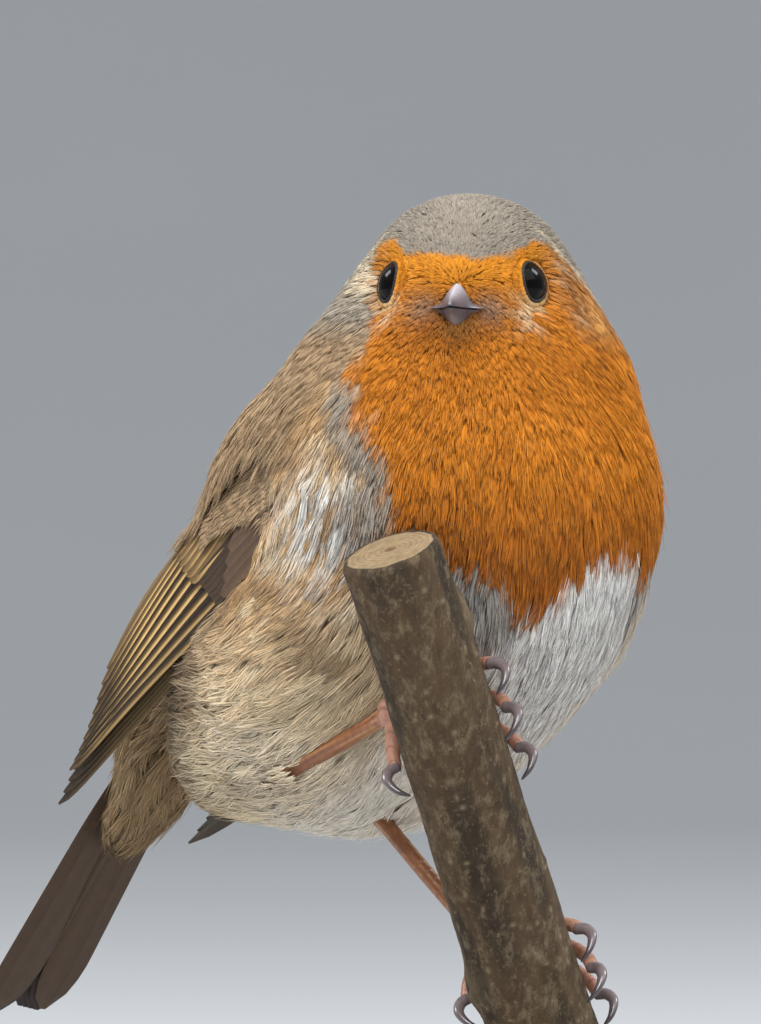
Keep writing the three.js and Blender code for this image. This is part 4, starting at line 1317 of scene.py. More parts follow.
for wing_name in SIDES:
    lay_wing(wing_name)
    lay_soft_coverts(wing_name)

TAIL_TOP = colour(64, 50, 36)
TAIL_EDGE = colour(146, 116, 84)
TAIL_UNDER = colour(54, 43, 37)


def lay_tail():
    """Six feathers on each side of the tail, each a little lower and further out than the one before it."""
    dice = np.random.default_rng(50)
    count = 26
    t = np.linspace(0, 1, count)
    share = vane_widths(t, slim=0.45, rounding=0.14)
    made = []
    for sign in SIDES.values():
        for k in range(6):
            turn = -sign * math.radians(0.42) * (0.5 + k)
            length = TAIL_LENGTH - 1.2 * (k == 0) - 0.35 * (k == 5)
            line = np.stack([np.zeros(count), t * length, np.zeros(count)], 1)
            line = turned(line, turn, "Z") + np.array((sign * (0.4 + 0.25 * k), 0, 0.8 - 0.3 * k))
            side = turned(np.repeat([[-sign, 0, 0]], count, 0), turn, "Z")
            out = np.repeat([[0.0, 0, 1]], count, 0)
            edge = TAIL_EDGE if k == 5 else lerp(TAIL_TOP, TAIL_EDGE, 0.45)
            under = lerp(TAIL_UNDER, TAIL_EDGE, 0.25) if k == 5 else TAIL_UNDER
            outer, inner = lerp(3.6, 2.3, k / 5), lerp(3.6, 4.9, k / 5)
            line[:, 0] += sign * (inner - outer) / 2 * share
            laid = from_tail(line), turned(side, TAIL_PITCH, "X"), turned(out, TAIL_PITCH, "X")
            blade = vane(*laid, outer * share, inner * share, thickness=0.28, camber=0.05)
            made.append((blade, vane_shades(count, TAIL_TOP, edge, under, 0.15, 1.0, dice)))
    join_vanes("tail_feathers", made, "flight_feathers", vane_finish.material, ["tail"])


lay_tail()

# ------------------------------------------------------------------ eyes and lids


def ball_piece(name, centre, radius, finish, replaces):
    """A smooth ball; centre and radius in millimetres from the trunk's middle."""
    bpy.ops.object.select_all(action="DESELECT")
    place = (np.array(centre) + TRUNK) * MM
    bpy.ops.mesh.primitive_uv_sphere_add(segments=64, ring_count=32, radius=radius * MM, location=place)
    piece = bpy.context.object
    piece.name = name
    bpy.ops.object.transform_apply(location=True, rotation=True, scale=True)
    piece.data.shade_smooth()
    piece.data.materials.append(finish)
    settle(piece, replaces)


eye_finish = Finish("eye", Roughness=0.03, Specular_IOR_Level=0.11)
iris = eye_finish.noise(eye_finish.place(), 900.0, 2.0)
eye_finish.feed(Base_Color=eye_finish.blend(iris, colour(6, 5, 5), colour(15, 11, 9)))

lid_finish = Finish("eyelid", Roughness=0.55, Specular_IOR_Level=0.3)
lid_grain = lid_finish.noise(lid_finish.place(), 2600.0, 3.0)
lid_finish.feed(Base_Color=lid_finish.blend(lid_grain, colour(18, 15, 14), colour(54, 45, 38)))
lid_finish.bump(lid_grain, 0.00008, 0.6)

LID_BACK = math.radians(68)  # how far back the lids reach, as an angle away from the eye's look


def eye_axes(name):
    """Which way the eye looks, the way forward to its front corner, and up, all square to each other."""
    look = EYE_LOOK[name]
    up = unit(np.array((0.0, 0, 1)) - look * look[2])
    fore = np.cross(look, up)
    to_bill = BILL_BASE - EYES[name]
    return look, fore * np.sign((fore * to_bill).sum()), up


def lid_open(angle):
    """How wide the lids stand open at an angle from the front corner: less in front, and most above."""
    ahead = np.clip(np.cos(angle), 0, 1)
    above = np.clip(np.cos(angle - math.radians(108)), 0, 1)
    return math.radians(44.5) - math.radians(12) * ahead**1.6 + math.radians(6) * above**14


def round_eye(name, angle, away, lift):
    """Places round the eye.

    angle goes round from the front corner, away is the angle from the eye's look, and lift the height
    off the ball.
    """
    look, fore, up = eye_axes(name)
    around = np.cos(angle)[..., None] * fore + np.sin(angle)[..., None] * up
    way = np.cos(away)[..., None] * look + np.sin(away)[..., None] * around
    return EYES[name] + way * (EYE_RADIUS + lift)[..., None]


def lid_ring(name):
    """A thin dark lid that hugs the ball, thick and beaded at its rim and drawn up to a point above."""
    angle = full_turn(120)
    over_it = [(0.0, 0.01), (0.02, 0.14), (0.08, 0.2), (0.2, 0.16), (0.6, 0.13), (1.0, 0.12)]
    under_it = [(1.0, -0.1), (0.0, -0.1)]
    rows = []
    for share, lift in over_it + under_it:
        beads = 1 + 0.25 * np.sin(angle * 38) * (0.01 < share < 0.3)
        rows.append(round_eye(name, angle, lerp(lid_open(angle), LID_BACK, share), lift * beads))
    ring = np.stack(rows, 1)
    a, b, c, d = ring_corners(*ring.shape[:2], loop=True)
    faces = np.vstack([np.stack([a, b, c], 1), np.stack([a, c, d], 1)])
    points = ring.reshape(-1, 3)
    add_piece(f"eyelid_{name}", points, facing_out(points, faces), "eye", lid_finish.material)


def lash_feathers(name):
    """The ring of tiny feathers that springs from the lid and lies out over the face, pale below the eye."""
    dice = np.random.default_rng(90)
    rows, per_row = 3, 80
    angle = np.tile(full_turn(per_row), rows) + np.repeat(dice.uniform(0, 0.1, rows), per_row)
    angle = angle + dice.normal(0, 0.02, len(angle))
    start = lid_open(angle) + np.repeat((0.06, 0.16, 0.28), per_row)
    long = dice.uniform(0.8, 1.15, len(angle)) * np.repeat((0.9, 1.15, 1.4), per_row)
    path = []
    for stop, lift in zip(PATH_STOPS, (0.02, 0.26, 0.34, 0.3)):
        path.append(round_eye(name, angle, start + long * stop / EYE_RADIUS, lift + 0.22 * long * stop**2))
    path = np.stack(path, 1)
    look = eye_axes(name)[0]
    out = unit(path[:, 1] - EYES[name] + look)
    width = np.full(len(angle), 0.42)
    places = nearest_on_map(path[:, 0])
    laid = path, width, out, places
    lay_feathers(f"coat_lid_{name}", "crown", *laid, per_feather=6, seed=300, thin=1.3)


for side_name in SIDES:
    ball_piece(
        f"eyeball_{side_name}", EYES[side_name], EYE_RADIUS, eye_finish.material, [f"eye_{side_name}"]
    )
    lid_ring(side_name)
    lash_feathers(side_name)

# ------------------------------------------------------------------ bill

# Where the bill begins and ends along the head, and the height of its gape.
BILL_BACK, BILL_TIP, BILL_GAPE = -8.0, -24.2, -3.4

bill_finish = painted_finish(
    "bill horn",
    grain=(1300.0, 4.0),
    tone=(0.8, 0.4),
    bump=(0.00006, 0.5),
    Roughness=0.32,
    Specular_IOR_Level=0.5,
    Coat_Weight=0.15,
    Coat_Roughness=0.25,
)

# The horn's grey-blue is partly painted reflection of the sky on the dark bill.
HORN = colour(76, 78, 90)
HORN_HIGHLIGHT = colour(210, 214, 224)
HORN_DARK = colour(38, 40, 52)
FLANGE = colour(150, 138, 122)
BRISTLE = colour(48, 38, 32)


def bill_half(name, height, width, tip, up, replaces):
    """One half of the bill as rings from its base to its tip, roof-shaped above, with pits for nostrils.

    up is 1 for the upper half and -1 for the lower.
    """
    sides = 29
    t = np.linspace(0, 1, 40)
    half = width / 2 * (1 - t) ** 0.95 + 0.2
    tall = height * (1 - t) ** 0.7 + 0.2
    gape = BILL_GAPE + 0.3 * t + up * 0.1
    across = np.cos(np.linspace(0, math.pi, sides))
    steep, highlight_strength = (1.45, 1.0) if up > 0 else (2.0, 0.4)
    ridge = highlight_strength * hump(across, 0.5)
    made, shades = [], []
    for k in range(len(t)):
        lip = 0.55 * ease(np.abs(across), 0.86, 1.0) * (1 - ease(t[k], 0.46, 0.62))
        x = half[k] * across * (1 + lip)
        z = gape[k] + up * tall[k] * (1 - np.abs(across) ** steep) ** 0.9
        y = np.full(sides, lerp(BILL_BACK, tip, t[k]))
        made.append(np.stack([x, y, z], 1))
        # Paler along the ridge: a painted highlight, weaker on the lower half and towards the tip.
        shade = lerp(HORN, HORN_HIGHLIGHT, (ridge * 0.85 * (1 - 0.3 * t[k]))[:, None])
        shade = lerp(shade, HORN_DARK, np.broadcast_to(0.6 * ease(t[k], 0.75, 1.0), ridge.shape)[:, None])
        edge = np.abs(across) ** 6 * (1 - ease(t[k], 0.3, 0.65))
        shades.append(lerp(shade, FLANGE, edge[:, None] * 0.6))
    made, shades = np.array(made), np.array(shades)
    if up > 0:
        for sign in SIDES.values():
            pit = np.array((sign * 1.3, -13.5, BILL_GAPE + 1.7))
            sunk = hump(np.linalg.norm((made - pit) * np.array((1, 0.5, 1.3)), axis=2), 0.5)[..., None]
            made = made - np.array((sign * 0.3, 0, 0.2)) * sunk
            # The nostril pits are painted dark: painted shade in the openings.
            shades = lerp(shades, HORN_DARK * 0.4, sunk)
    points, faces = closed_rings(made)
    piece = add_piece(name, from_head(points), faces, "bill", bill_finish, replaces)
    paint(piece, np.vstack([shades.reshape(-1, 3), shades[0].mean(0), shades[-1].mean(0)]))


bill_half("bill_above", 4.1, 6.8, BILL_TIP, 1, ["bill_upper"])
bill_half("bill_below", 2.7, 6.2, BILL_TIP + 1.1, -1, ["bill_lower"])


def gape_bristles():
    """Stiff dark hairs that spring from above the corners of the mouth and curve forward."""
    dice = np.random.default_rng(95)
    paths = []
    for sign in SIDES.values():
        for k in range(9):
            above_gape = BILL_GAPE + 1.3 + dice.uniform(-0.3, 0.5)
            root = np.array((sign * (2.5 + 0.28 * k), -13.4 + 0.16 * k, above_gape))
            way = unit(np.array((sign * dice.uniform(0.3, 0.9), -0.9, dice.uniform(-0.9, 0.1))))
            long = dice.uniform(1.5, 2.8)
            bend = np.array((-sign * 0.1, -0.2, -0.3)) * long
            paths.append([root + way * long * t + bend * t * t for t in PATH_STOPS])
    path = from_head(np.array(paths))
    aslant = unit(path[:, 1] - path[:, 0])[:, [1, 2, 0]]
    width = np.full(len(path), 0.06)
    line, side, thickness = strands(path, width, aslant, per_feather=1, seed=96, thin=1.0)
    points, faces = blade_mesh(line, side, unit(np.cross(side, path[:, 3] - path[:, 0])), thickness)
    piece = add_piece("bristles", points.reshape(-1, 3), faces, "bill", coat_finish)
    paint(piece, plain(BRISTLE, points.size // 3))
    lay_map(piece, "OFBake", blade_patches(nearest_on_map(path[:, 0]), 1))


gape_bristles()

# ------------------------------------------------------------------ legs, feet and claws

BACK_OF_PERCH = math.radians(48)
# The pad of each foot and the end of each toe: degrees round the stem, and millimetres along it.
FEET = {
    "right": {
        "pad": (46, 0.6),
        "inner": (-68, 4.2),
        "middle": (-82, -1),
        "outer": (-74, -6.6),
        "hind": (78, -4.4),
    },
    "left": {
        "pad": (24, -31.6),
        "inner": (-72, -39.4),
        "middle": (-86, -35.2),
        "outer": (-74, -30.6),
        "hind": (76, -35),
    },
}
TOES = ("inner", "middle", "outer", "hind")
TOE_SCUTE, SHANK_SCUTE = 0.95, 1.5  # the length of a scute on a toe and on the shank
CLAW_RINGS, CLAW_SIDES = 30, 16
CLAW_REACH, CLAW_DROP = 38, 2.4  # degrees that a claw runs on round the stem, and how far it comes down it


def round_perch(angle, s, lift):
    """Places round the stem, in the stem's own frame; lift is the height off its bark."""
    turn = np.radians(angle) + BACK_OF_PERCH
    reach = perch_radius(s) + lift
    return np.stack(np.broadcast_arrays(reach * np.cos(turn), reach * np.sin(turn), s), -1)


def shank_foot(name):
    """Where the shank comes down on the foot's pad."""
    angle, s = FEET[name]["pad"]
    return from_perch(round_perch(angle, s, 2.4)[None])[0]


def limb(path, side_up, reach, ends=True):
    """Rings round a path. reach gives each ring's radius at each angle, where angle 0 faces side_up."""
    way = unit(np.gradient(path, axis=0))
    up = unit(side_up - way * (side_up * way).sum(1, keepdims=True))
    side = np.cross(way, up)
    sides = reach.shape[1]
    angle = full_turn(sides)
    round_it = np.cos(angle)[None, :, None] * up[:, None] + np.sin(angle)[None, :, None] * side[:, None]
    made = path[:, None] + round_it * reach[..., None]
    if ends:
        first = path[0] - way[0] * reach[0].mean() * 0.6 + (made[0] - path[0]) * 0.6
        last = path[-1] + way[-1] * reach[-1].mean() * 0.6 + (made[-1] - path[-1]) * 0.6
        made = np.concatenate([first[None], made, last[None]])
    return closed_rings(made)


def toe_tube(pad, toe):
    """A toe from the pad round the stem, with scutes on top and soft pads below."""
    t = np.linspace(0, 1, 70)
    angle, s = lerp(pad[0], toe[0], t), lerp(pad[1], toe[1], t)
    thick = lerp(1.16, 0.84, t)
    path = from_perch(round_perch(angle, s, 0.3 + thick * 1.04))
    core = from_perch(np.stack([0 * s, 0 * s, s], 1))
    away = unit(path - core)
    a = full_turn(20)
    length = np.linalg.norm(np.diff(path, axis=0), axis=1).sum()
    scutes = ((t * length / TOE_SCUTE) % 1.0) ** 2
    joints = np.cos(TAU * t * 3.0) * 0.07
    top = np.clip(np.cos(a), 0, 1)[None] ** 0.6
    below = np.clip(-np.cos(a), 0, 1)[None]
    reach = thick[:, None] * (0.94 + top * (0.085 * scutes[:, None] - 0.02) + below * joints[:, None])
    return limb(path, away, reach)


def claw_tube(pad, toe):
    """A claw that arches off the bark from the toe's end and comes down to a fine tip."""
    way = np.sign(toe[0] - pad[0])
    ahead = []
    for k, lift in ((0.02, 1.0), (0.22, 1.9), (0.5, 2.3), (0.8, 1.8), (1.0, 0.75)):
        ahead.append(round_perch(toe[0] + way * CLAW_REACH * k, toe[1] - CLAW_DROP * k * k, lift))
    path = from_perch(smooth_path(ahead, CLAW_RINGS))
    t = np.linspace(0, 1, CLAW_RINGS)
    s = lerp(toe[1], toe[1] - CLAW_DROP, t)
    core = from_perch(np.stack([0 * s, 0 * s, s], 1))
    a = full_turn(CLAW_SIDES)
    thick = 0.74 * (1 - t) ** 0.62 + 0.07
    reach = thick[:, None] * (0.86 + 0.18 * np.abs(np.cos(a))[None] ** 2)
    return limb(path, unit(path - core), reach, ends=False)


def shank_tube(name):
    """The shank from the ankle joint to the pad, with scutes down its front."""
    ankle, foot = ANKLE[name], shank_foot(name)
    count = 110
    path = smooth_path([ankle, (ankle + foot) / 2 + np.array((0, 0, -0.25)), foot], count)
    t = np.linspace(0, 1, count)
    length = np.linalg.norm(foot - ankle)
    thick = 1.05 * (1 + 0.5 * hump(t - 0.03, 0.08) + 0.3 * hump(t - 1, 0.1))
    a = full_turn(24)
    front = np.clip(np.cos(a), 0, 1)[None] ** 0.5
    scutes = (((t + 0.012 * np.sin(9 * t)) * length / SHANK_SCUTE) % 1.0) ** 3
    rear = 0.05 * np.clip(-np.cos(a), 0, 1)[None] ** 4
    reach = thick[:, None] * (0.95 + 0.11 * front * scutes[:, None] - rear)
    forward = np.repeat(unit(np.array((-0.5, -0.8, 0.6)))[None], count, 0)
    return limb(path, forward, reach)


def pad_ball(name):
    """The soft pad under the foot, where the toes meet."""
    angle = full_turn(20)
    made = []
    for tilt in np.linspace(-1.4, 1.4, 12):
        reach, s = 1.8 * math.cos(tilt), 2.1 * math.sin(tilt)
        made.append(np.stack([reach * np.cos(angle), reach * np.sin(angle), np.full(len(angle), s)], 1))
    points, faces = closed_rings(np.array(made))
    return from_perch(points + round_perch(*FEET[name]["pad"], 2.05)), faces


leg_finish = painted_finish(
    "leg skin",
    grain=(1500.0, 4.0),
    tone=(0.7, 0.6),
    bump=(0.0001, 0.5),
    Roughness=0.36,
    Specular_IOR_Level=0.45,
    Subsurface_Weight=0.08,
    Subsurface_Scale=0.001,
)
claw_finish = painted_finish(
    "claw horn",
    grain=(1800.0, 2.0),
    tone=(0.75, 0.5),
    Roughness=0.24,
    Specular_IOR_Level=0.55,
    Coat_Weight=0.3,
    Coat_Roughness=0.15,
)

SHANK = colour(158, 102, 64)
SHANK_DARK = colour(104, 62, 42)
SHANK_PALE = colour(206, 158, 104)
TOE = colour(182, 132, 110)
CLAW = colour(112, 98, 98)
CLAW_TIP = colour(52, 44, 46)


def joined(parts):
    """Several meshes as one."""
    points, faces, start = [], [], 0
    for p, f in parts:
        points.append(p)
        faces.append(f + start)
        start += len(p)
    return np.vstack(points), np.vstack(faces)


def one_skin(piece, voxel, smoothing):
    """Melts overlapping tubes into one skin, and tells where its points then are."""
    bpy.ops.object.select_all(action="DESELECT")
    piece.select_set(True)
    bpy.context.view_layer.objects.active = piece
    melt = piece.modifiers.new("melt", "REMESH")
    melt.mode = "VOXEL"
    melt.voxel_size = voxel * MM
    soften = piece.modifiers.new("soften", "SMOOTH")
    soften.factor = 0.5
    soften.iterations = smoothing
    for modifier in (melt, soften):
        bpy.ops.object.modifier_apply(modifier=modifier.name)
    piece.data.shade_smooth()
    piece.select_set(False)
    points = np.empty(len(piece.data.vertices) * 3, np.float32)
    piece.data.vertices.foreach_get("co", points)
    return points.reshape(-1, 3) / MM - TRUNK


def lay_leg(name):
    pad = FEET[name]["pad"]
    parts = [toe_tube(pad, FEET[name][toe]) for toe in TOES] + [pad_ball(name), shank_tube(name)]
    leg = add_piece(f"leg_{name}", *joined(parts), "leg", leg_finish, [f"shank_{name}", f"foot_{name}"])
    points = one_skin(leg, voxel=0.14, smoothing=1)
    q = to_perch(points)
    off_bark = np.linalg.norm(q[:, :2], axis=1) - perch_radius(q[:, 2])
    on_toe = ease(-off_bark, -4.2, -2.6)
    up_shank = ease(np.linalg.norm(points - ANKLE[name], axis=1), 1, 6)
    shade = lerp(SHANK_DARK, SHANK, (up_shank * (0.8 + 0.2 * ripple(points, 2.5, 61)))[:, None])
    shade = lerp(shade, TOE, (on_toe * 0.85)[:, None])
    under = ease(-off_bark, -0.9, -0.3)
    shade = lerp(shade, TOE * 1.15, (under * 0.5)[:, None])
    # Creases between the scutes, across the shank's front and over each toe, painted dark as shade in the
    # grooves.
    to_foot = unit(shank_foot(name) - ANKLE[name])
    down_shank = (points - ANKLE[name]) @ to_foot
    round_stem = perch_radius(q[:, 2]) * np.arctan2(q[:, 1], q[:, 0])
    shank_crease = 0.25 * ease((down_shank / SHANK_SCUTE) % 1.0, 0.8, 0.97)
    crease = lerp(shank_crease, ease((round_stem / TOE_SCUTE) % 1.0, 0.72, 0.96), on_toe)
    # Fine streaks that run down the shank.
    beside = np.linalg.norm(points - ANKLE[name] - down_shank[:, None] * to_foot, axis=1)
    streak = ripple(points - down_shank[:, None] * to_foot * 0.97, 0.5, 62) * (1 - on_toe) * (beside < 3)
    shade = lerp(shade, SHANK_PALE, (0.5 * ease(streak, 0.1, 0.9))[:, None])
    shade = lerp(shade, SHANK_DARK, (0.6 * ease(-streak, 0.2, 1.0))[:, None])
    paint(leg, np.clip(shade * (1 - 0.38 * crease * (1 - under))[:, None], 0, 1))
    for toe in TOES:
        points, faces = claw_tube(pad, FEET[name][toe])
        claw = add_piece(f"talon_{name}_{toe}", points, faces, "claw", claw_finish, [f"claw_{name}_{toe}"])
        along = np.concatenate([np.repeat(np.linspace(0, 1, CLAW_RINGS), CLAW_SIDES), (0, 1)])
        paint(claw, lerp(CLAW, CLAW_TIP, ease(along, 0.25, 0.95)[:, None]))


def heel_feathers(name):
    """A few loose belly feathers that fall over the ankle joint, where the shank comes out of the plumage."""
    dice = np.random.default_rng(66)
    ankle = ANKLE[name]
    down = unit(shank_foot(name) - ankle)
    out, _ = outward(ankle[None])
    down = unit(down - out[0] * (down @ out[0]))
    side = np.cross(out[0], down)
    behind, beside = np.meshgrid((0.6, 1.6, 2.8, 4.0), np.linspace(-2.8, 2.8, 11))
    behind = behind.ravel() + dice.normal(0, 0.25, behind.size)
    beside = beside.ravel() + dice.normal(0, 0.2, beside.size)
    long = dice.uniform(3.4, 5.0, len(behind))
    over_joint = plumage(ankle[None])[0] + np.sqrt(np.clip(1.95**2 - beside**2, 0.02, None))
    path = []
    for stop, share in zip(PATH_STOPS, (0.0, 0.75, 1.0, 1.0)):
        place = ankle + np.outer(long * stop - behind, down) + np.outer(beside * (1 - 0.15 * stop), side)
        path.append(to_level(place, lerp(-0.6, np.maximum(over_joint, 0.1), share)))
    path = np.stack(path, 1)
    count = len(path)
    laid = path, np.full(count, 0.8), np.repeat(out, count, 0), nearest_on_map(path[:, 0])
    lay_feathers(f"coat_heel_{name}", "belly", *laid, per_feather=8, seed=320, thin=1.5, wild=0.6)


for leg_name in SIDES:
    lay_leg(leg_name)
heel_feathers("right")

# ------------------------------------------------------------------ stem

BARK = colour(84, 67, 48)
BARK_DARK = colour(46, 39, 30)
BARK_PALE = colour(148, 130, 102)
WOOD = colour(158, 134, 100)
PITH_EDGE = colour(112, 84, 58)
PITH = colour(96, 70, 48)
STEM_RIPPLE = 6.5  # the radius at which the bark's ripples are read
BUDS = ((12, math.radians(-35)), (-33, math.radians(150)))  # places along the stem and round it
SCARS = (-52, -20)
WARTS = 170


def bark_spot(angle, s, at, way, wide, tall):
    """A soft round spot on the bark at a place along the stem and round it: 1 in its middle."""
    turn = np.arctan2(np.sin(angle - way), np.cos(angle - way))[None]
    return np.exp(-((turn / wide) ** 2) - ((s - at) / tall) ** 2)


def lay_stem():
    """The stem's bark with ridges, buds, warts and ring scars, cut level below and sawn across above."""
    sides, steps = 144, 300
    angle = full_turn(sides)
    foot_z = perch_low.z / MM - TRUNK[2] - PERCH_AT[2]
    t = np.linspace(0, 1, steps)[:, None]
    lean = (PERCH_TURN[2, 0] * np.cos(angle) + PERCH_TURN[2, 1] * np.sin(angle)) * STEM_REACH[0]
    s_foot = (foot_z - lean) / PERCH_TURN[2, 2]
    s = lerp(s_foot[None], PERCH_TOP, t)
    across, along = STEM_RIPPLE * np.cos(angle), STEM_RIPPLE * np.sin(angle)
    grid = np.stack([across + 0 * s, along + 0 * s, s], -1).reshape(-1, 3)
    drawn = grid * np.array((1, 1, 0.22))
    ridges = ripple(drawn, 1.6, 71) * 0.07 + ripple(drawn, 3.6, 72) * 0.09 + ripple(grid, 16, 73) * 0.16
    pits = np.minimum(ripple(grid * np.array((1, 1, 0.6)), 1.1, 74), 0) * 0.06
    relief = (ridges + pits).reshape(steps, sides)
    reach = perch_radius(s) - 0.22 + relief
    shade = lerp(BARK, BARK_DARK, ease(ripple(drawn, 5, 75), -0.2, 0.9).reshape(steps, sides, 1) * 0.75)
    for at, way in BUDS:
        bump = bark_spot(angle, s, at, way, 0.4, 2.6)
        eye = bark_spot(angle, s, at + 0.4, way, 0.13, 0.9)
        reach = reach + 1.1 * bump - 0.5 * eye
        shade = lerp(shade, BARK_PALE, (bump * 0.5)[..., None])
        shade = lerp(shade, BARK_DARK * 0.6, eye[..., None])
    dice = np.random.default_rng(77)
    for _ in range(WARTS):
        at, way = dice.uniform(-64, 21), dice.uniform(0, TAU)
        wart = bark_spot(angle, s, at, way, dice.uniform(0.03, 0.07), dice.uniform(0.16, 0.42))
        reach = reach + 0.13 * wart
        shade = lerp(shade, BARK_PALE, (wart * 0.75)[..., None])
    for at in SCARS:
        wavy = 0.9 * np.sin(2 * angle + at) + 0.3 * np.sin(5 * angle)
        reach = reach + 0.12 * hump(s - at - wavy, 0.5)
    reach = reach * (1 - 0.05 * ease(t, 0.992, 1.0))
    wall = np.stack([reach * np.cos(angle), reach * np.sin(angle), s], -1)
    # The sawn top: a rim of bark, then wood with faint rings and a pith.
    cut, cut_shades = [], []
    for share in np.linspace(0.94, 0.04, 26):
        rise = 0.12 * (share < 0.9) + 0.0075 * np.sin(share * 60)
        cut.append(wall[-1] * np.array((share, share, 1)) + np.array((0, 0, rise)))
        growth = 0.86 + 0.14 * np.sin(share * 52)
        tone = BARK_DARK * 1.1 if share > 0.91 else WOOD * growth
        cut_shades.append(plain(PITH_EDGE if share < 0.12 else tone, sides))
    all_rings = np.concatenate([wall, np.array(cut)])
    shades = np.concatenate([np.broadcast_to(shade, wall.shape), np.array(cut_shades)])
    points, faces = closed_rings(all_rings)
    stem = add_piece("stem", from_perch(points), faces, "bark", bark_finish.material, ["perch"])
    paint(stem, np.clip(np.vstack([shades.reshape(-1, 3), BARK_DARK, PITH]), 0, 1))


bark_finish = Finish("bark", Roughness=0.86, Specular_IOR_Level=0.25)
bark_place = bark_finish.place()
stem_turn = tuple(Vector((0, 0, 1)).rotation_difference(Vector(PERCH_WAY)).inverted().to_euler())
along_stem = bark_finish.stretched(bark_place, (1, 1, 0.3), stem_turn)
bark_streaks = bark_finish.noise(along_stem, 900.0, 6.0, 0.65)
bark_flecks = bark_finish.noise(bark_place, 1500.0, 3.0, 0.7)
flecks = bark_finish.ramp(bark_flecks, (0.60, 0.0), (0.72, 1.0))
drawn_out = bark_finish.stretched(bark_place, (1, 1, 0.55), stem_turn)
lichen = bark_finish.ramp(bark_finish.noise(drawn_out, 640.0, 6.0, 0.78), (0.5, 0.0), (0.64, 1.0))
bark_base = bark_finish.tinted(bark_finish.paint(), 0.3 + 1.1 * bark_streaks)
bark_base = bark_finish.blend(lichen * 0.45, bark_base, BARK_PALE * 0.85)
bark_finish.feed(Base_Color=bark_finish.blend(flecks * 0.4, bark_base, BARK_PALE))
bark_finish.bump(bark_streaks + 0.4 * bark_flecks, 0.0003, 0.8)

lay_stem()

# ------------------------------------------------------------------ stand

WALNUT_DARK = colour(46, 30, 22)
WALNUT = colour(74, 49, 34)
WALNUT_PALE = colour(98, 66, 44)

walnut = Finish("dark walnut", Roughness=0.38, Specular_IOR_Level=0.45, Coat_Weight=0.25, Coat_Roughness=0.2)
grain = walnut.noise(walnut.stretched(walnut.place(), (1.0, 9.0, 4.0)), 26.0, 5.0, 0.6)
pores = walnut.noise(walnut.stretched(walnut.place(), (1.0, 14.0, 8.0)), 210.0, 2.0)
walnut_shade = walnut.ramp(grain, (0.3, WALNUT_DARK), (0.5, WALNUT), (0.7, WALNUT_PALE))
walnut.feed(Base_Color=walnut.tinted(walnut_shade, 0.8 + 0.4 * pores), Roughness=0.3 + 0.2 * pores)
walnut.bump(pores, 0.00005, 0.4)

brass = Finish("brushed brass", Metallic=1.0, Roughness=0.3)
brushed = brass.noise(brass.stretched(brass.place(), (1, 1, 40.0)), 220.0, 3.0)
brass_shade = brass.blend(brushed, colour(176, 138, 72), colour(208, 172, 104))
brass.feed(Base_Color=brass_shade, Roughness=0.22 + 0.2 * brushed)


def turned_piece(name, profile, centre, finish, replaces, bevel):
    """A lathe-turned solid: a disc raised ring by ring through its profile, then softened at its edges."""
    bpy.ops.object.select_all(action="DESELECT")
    (first, low), *rest = profile
    x, y = centre
    place = (x * MM, y * MM, low * MM)
    bpy.ops.mesh.primitive_circle_add(vertices=128, radius=first * MM, fill_type="NGON", location=place)
    piece = bpy.context.object
    piece.name = name
    bpy.ops.object.transform_apply(location=True, rotation=True, scale=True)
    bpy.ops.object.mode_set(mode="EDIT")
    bpy.ops.mesh.select_all(action="SELECT")
    reach, height = first, low
    for next_reach, next_height in rest:
        rise = (0, 0, (next_height - height) * MM)
        bpy.ops.mesh.extrude_region_move(TRANSFORM_OT_translate={"value": rise})
        share = next_reach / reach
        bpy.ops.transform.resize(value=(share, share, 1), center_override=(x * MM, y * MM, next_height * MM))
        reach, height = next_reach, next_height
    bpy.ops.mesh.select_all(action="SELECT")
    bpy.ops.mesh.normals_make_consistent(inside=False)
    bpy.ops.object.mode_set(mode="OBJECT")
    edge = piece.modifiers.new("edge", "BEVEL")
    edge.width = bevel * MM
    edge.segments = 3
    edge.limit_method = "ANGLE"
    edge.angle_limit = math.radians(30)
    bpy.ops.object.modifier_apply(modifier=edge.name)
    bpy.ops.object.shade_smooth_by_angle(angle=math.radians(30))
    piece.data.materials.append(finish)
    settle(piece, replaces)


base_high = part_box("stand_base")[1]
rod_low, rod_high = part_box("stand_rod")
rod_at = ((rod_low.x + rod_high.x) / 2 / MM, (rod_low.y + rod_high.y) / 2 / MM)
base_reach, base_top = base_high.x / MM, base_high.z / MM
base_profile = [
    (base_reach - 0.8, 0),
    (base_reach, 0.8),
    (base_reach, base_top - 2.4),
    (base_reach - 0.9, base_top - 1.9),
    (base_reach - 1.1, base_top - 0.7),
    (base_reach - 2.0, base_top),
]
turned_piece(
    "stand_foot_turned", base_profile, (0, 0), walnut.material, ["stand_base"], bevel=0.25
)
cup_top, cup_reach = rod_high.z / MM, (rod_high.x - rod_low.x) / 2 / MM
rod_profile = [
    (3.6, base_top),
    (3.6, base_top + 0.7),
    (2.2, base_top + 1.3),
    (2.2, cup_top - 5.4),
    (2.9, cup_top - 4.6),
    (cup_reach - 0.3, cup_top - 3.7),
    (cup_reach, cup_top - 3.1),
    (cup_reach, cup_top - 0.02),
]
turned_piece(
    "stand_post_turned", rod_profile, rod_at, brass.material, ["stand_rod"], bevel=0.18
)

# ------------------------------------------------------------------ camera, floor and light

